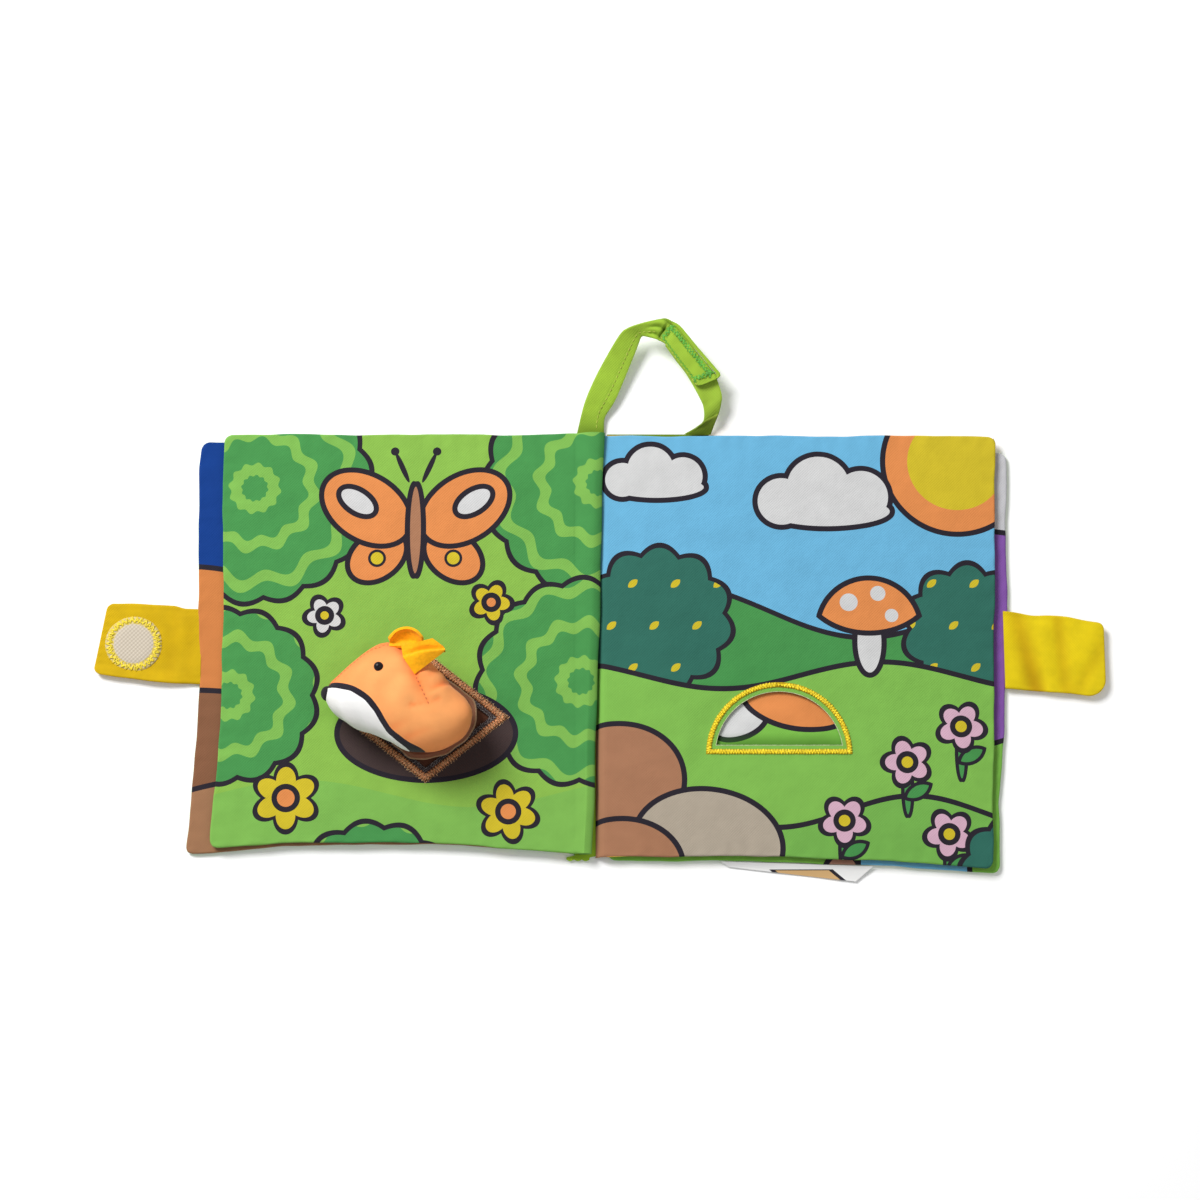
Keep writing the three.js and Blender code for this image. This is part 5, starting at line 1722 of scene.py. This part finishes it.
def short_strap():
    """The run back to the spine from under the patch, with its edge folded over."""
    patch_outer, patch_inner = lowered(PATCH_OUTER, 2.8), lowered(PATCH_INNER, 2.8)
    right = handle_run([*SHORT_INNER, *patch_inner[3:0:-1]], SHORT_STEPS)[::-1]
    left = handle_run([*SHORT_OUTER, *patch_outer[3:0:-1]], SHORT_STEPS)[::-1]
    plan = between(right[:, None], left[:, None], np.linspace(0, 1, SHORT_CELLS + 1)[None, :, None])
    fold_from, fold_to = np.array([50.0, 102.2]), np.array([58.6, 106.8])
    fold_way = (fold_to - fold_from) / np.linalg.norm(fold_to - fold_from)
    past = (plan[..., 0] - fold_from[0]) * fold_way[1] - (plan[..., 1] - fold_from[1]) * fold_way[0]
    folded = smooth(past / 0.5 + 0.5)
    raised = 0.9 * folded * np.exp(-np.clip(past, 0, None) / 7)
    made = ribbon("handle_short", right, left, STRAP_THICK, SHORT_STRAP_CLOTH, SHORT_CELLS,
                  lambda t, s: 0.2 * np.sin(19 * t + 5 * s) + raised)
    paint_pad(made, "underside", folded)
    # Painted shade on the strap just beside its folded-over edge.
    paint_pad(made, "shade", 0.75 * (1 - folded) * np.exp(np.clip(past, -9, 0) / 1.4))
    sewn_at_spine(made, "handle_short_strap")
    return made


def tip_stitches(right, left):
    """Zigzags round the patch, the hooks' edge and the strap's seam."""
    zigzag = [(between(right, left, 0.09)[6:66] + (0, 0, 0.55), 1.3),
              (between(right, left, 0.68)[6:65] + (0, 0, 0.55), 3.4)]
    across = np.linspace(0.14, 0.78, 14)[:, None]
    for row in (7, 62):
        zigzag.append((between(right[row], left[row], across) + (0, 0, 0.6), 3.2))
    for number, (run, long_stitch) in enumerate(zigzag):
        for layer, swing in enumerate((34, 58, 46)[:3 if long_stitch > 2 else 1]):
            made = stitches(f"handle_zigzag_{number}_{layer}", run, LIME_THREAD, 0.8, long_stitch, 0.45,
                            swing=swing, uneven=0.35, seed=20 + number + 7 * layer)
            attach(made, "handle_tip")
    run = between(right, left, 0.86)[36:66] + (0, 0, 0.5)
    hooks = stitches("handle_hook_edge", run, HOOK_THREAD, 0.5, 0.9, 0.3, turn=60, swing=40, uneven=0.4,
                     seed=40)
    run = between(right, left, 0.03)[4:68] + (0, 0, 0.45)
    seam = stitches("handle_tip_seam", run, PALE_THREAD, 2.1, 1.4, 0.3, 0.25, turn=0, uneven=0.2, seed=41)
    for made in (hooks, seam):
        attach(made, "handle_tip")


def handle():
    """A loop of strap at the spine's head, closed by its patch."""
    tip_edges = round_end(handle_run(PATCH_INNER, TIP_STEPS), handle_run(PATCH_OUTER, TIP_STEPS), 2.4)
    for made, flat in (
        (long_strap(), (0.0107, 0.065)), (tip_strap(*tip_edges), (0.0114, 0.033)),
        (short_strap(), (0.0103, 0.054)),
    ):
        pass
    tip_stitches(*tip_edges)


handle()


# Spine, anchor strap and seam tag

BINDING_STUB = (-10.4, -0.2, -93.2)


def flat_strip(name, node, x, y, low, material, wave=0.0, seed=1, stub=None):
    """A flat strip of cloth over a rectangle. A stub is its foot end, drawn aside and scalloped."""
    across = np.linspace(x[0], x[1], 22)
    along = np.linspace(y[0], y[1], 120)
    if stub:
        along = np.concatenate([y[0] + np.arange(0, 4, 0.25), np.linspace(y[0] + 4, y[1], 110)])
    px, py = np.meshgrid(across, along, indexing="ij")
    if stub:
        share = (px - x[0]) / (x[1] - x[0])
        drawn = smooth((stub[2] + 0.6 - py) / 1.2)
        px = px + drawn * (stub[0] + share * (stub[1] - stub[0]) - px)
        py = py - 0.7 * np.abs(np.sin(share * math.pi * 3)) * np.exp(-(py - y[0]) / 0.8)
    lift = ripples(px, py, seed, (8.0, 13.0), wave) + wave
    top = np.stack([px, py, low + CLOTH + lift], axis=2)
    bottom = np.stack([px, py, low + lift * 0.9], axis=2)
    made = pad(name, top, bottom, material)
    fasten(made, "spine", node)


flat_strip("spine_cloth", "spine_outer_strip", (-7.2, 7.2), (-92.5, 92), 0.0,
           COVER_OUTSIDE)
flat_strip("binding_cloth", "spine_binding_tape", (-6.4, 4.6), (-94.6, 98.0), 0.8,
           BINDING_CLOTH, 0.08, 4, BINDING_STUB)
flat_strip("handle_anchor_cloth", "handle_anchor_strap", (7.6, 53.3), (87.3, 98.1), 0.15,
           LIME_CLOTH, 0.0, 6)


def seam_tag():
    """A folded satin label, sewn into the back cover's foot seam."""
    u, v = np.meshgrid(np.linspace(0, 1, 60), np.linspace(0, 1, 16), indexing="ij")
    head_x, foot_x = 57.4 + 67.2 * u, 61 + 55.8 * u
    seam = -95.37 - 2.07 * u - 0.3
    drop = 2.2 + 4.4 * u
    x = foot_x + (head_x - foot_x) * v
    y = seam - drop * (1 - v)
    z = 0.55 + 1.15 * v ** 1.5 + 0.35 * np.sin(u * 8) * (1 - v) ** 2 * u
    made = thick_sheet("seam_tag_satin", np.stack([x, y, z + 0.25], axis=2), 0.4, TAG_SATIN)
    fasten(made, "seam_tag", "seam_tag")


def tag_finish():
    """White satin with a plain tan panel."""
    finish = Finish("tag_satin", roughness=0.35, sheen=0.2)
    across, up = finish.place.split()
    inside = abs(across - 94.0 + (up + 100) * 1.2) / 14.0 & abs(up + 101.6) / 2.6
    printed = finish.mix(INK, ink("e3b981"), inside < 0.84)
    finish.colour(finish.mix((0.78, 0.78, 0.77, 1), printed, inside < 1.0))
    finish.relief(weave(finish, 0.4), 0.03)
    return finish.material


TAG_SATIN = tag_finish()
seam_tag()


# Floor

def lay_floor():
    half = 4000
    points = [(-half, -half, 0), (half, -half, 0), (half, half, 0), (-half, half, 0)]
    floor = piece("floor", points, [(0, 1, 2, 3)], floor_finish())
    floor.location.z = -0.05 * MM


lay_floor()
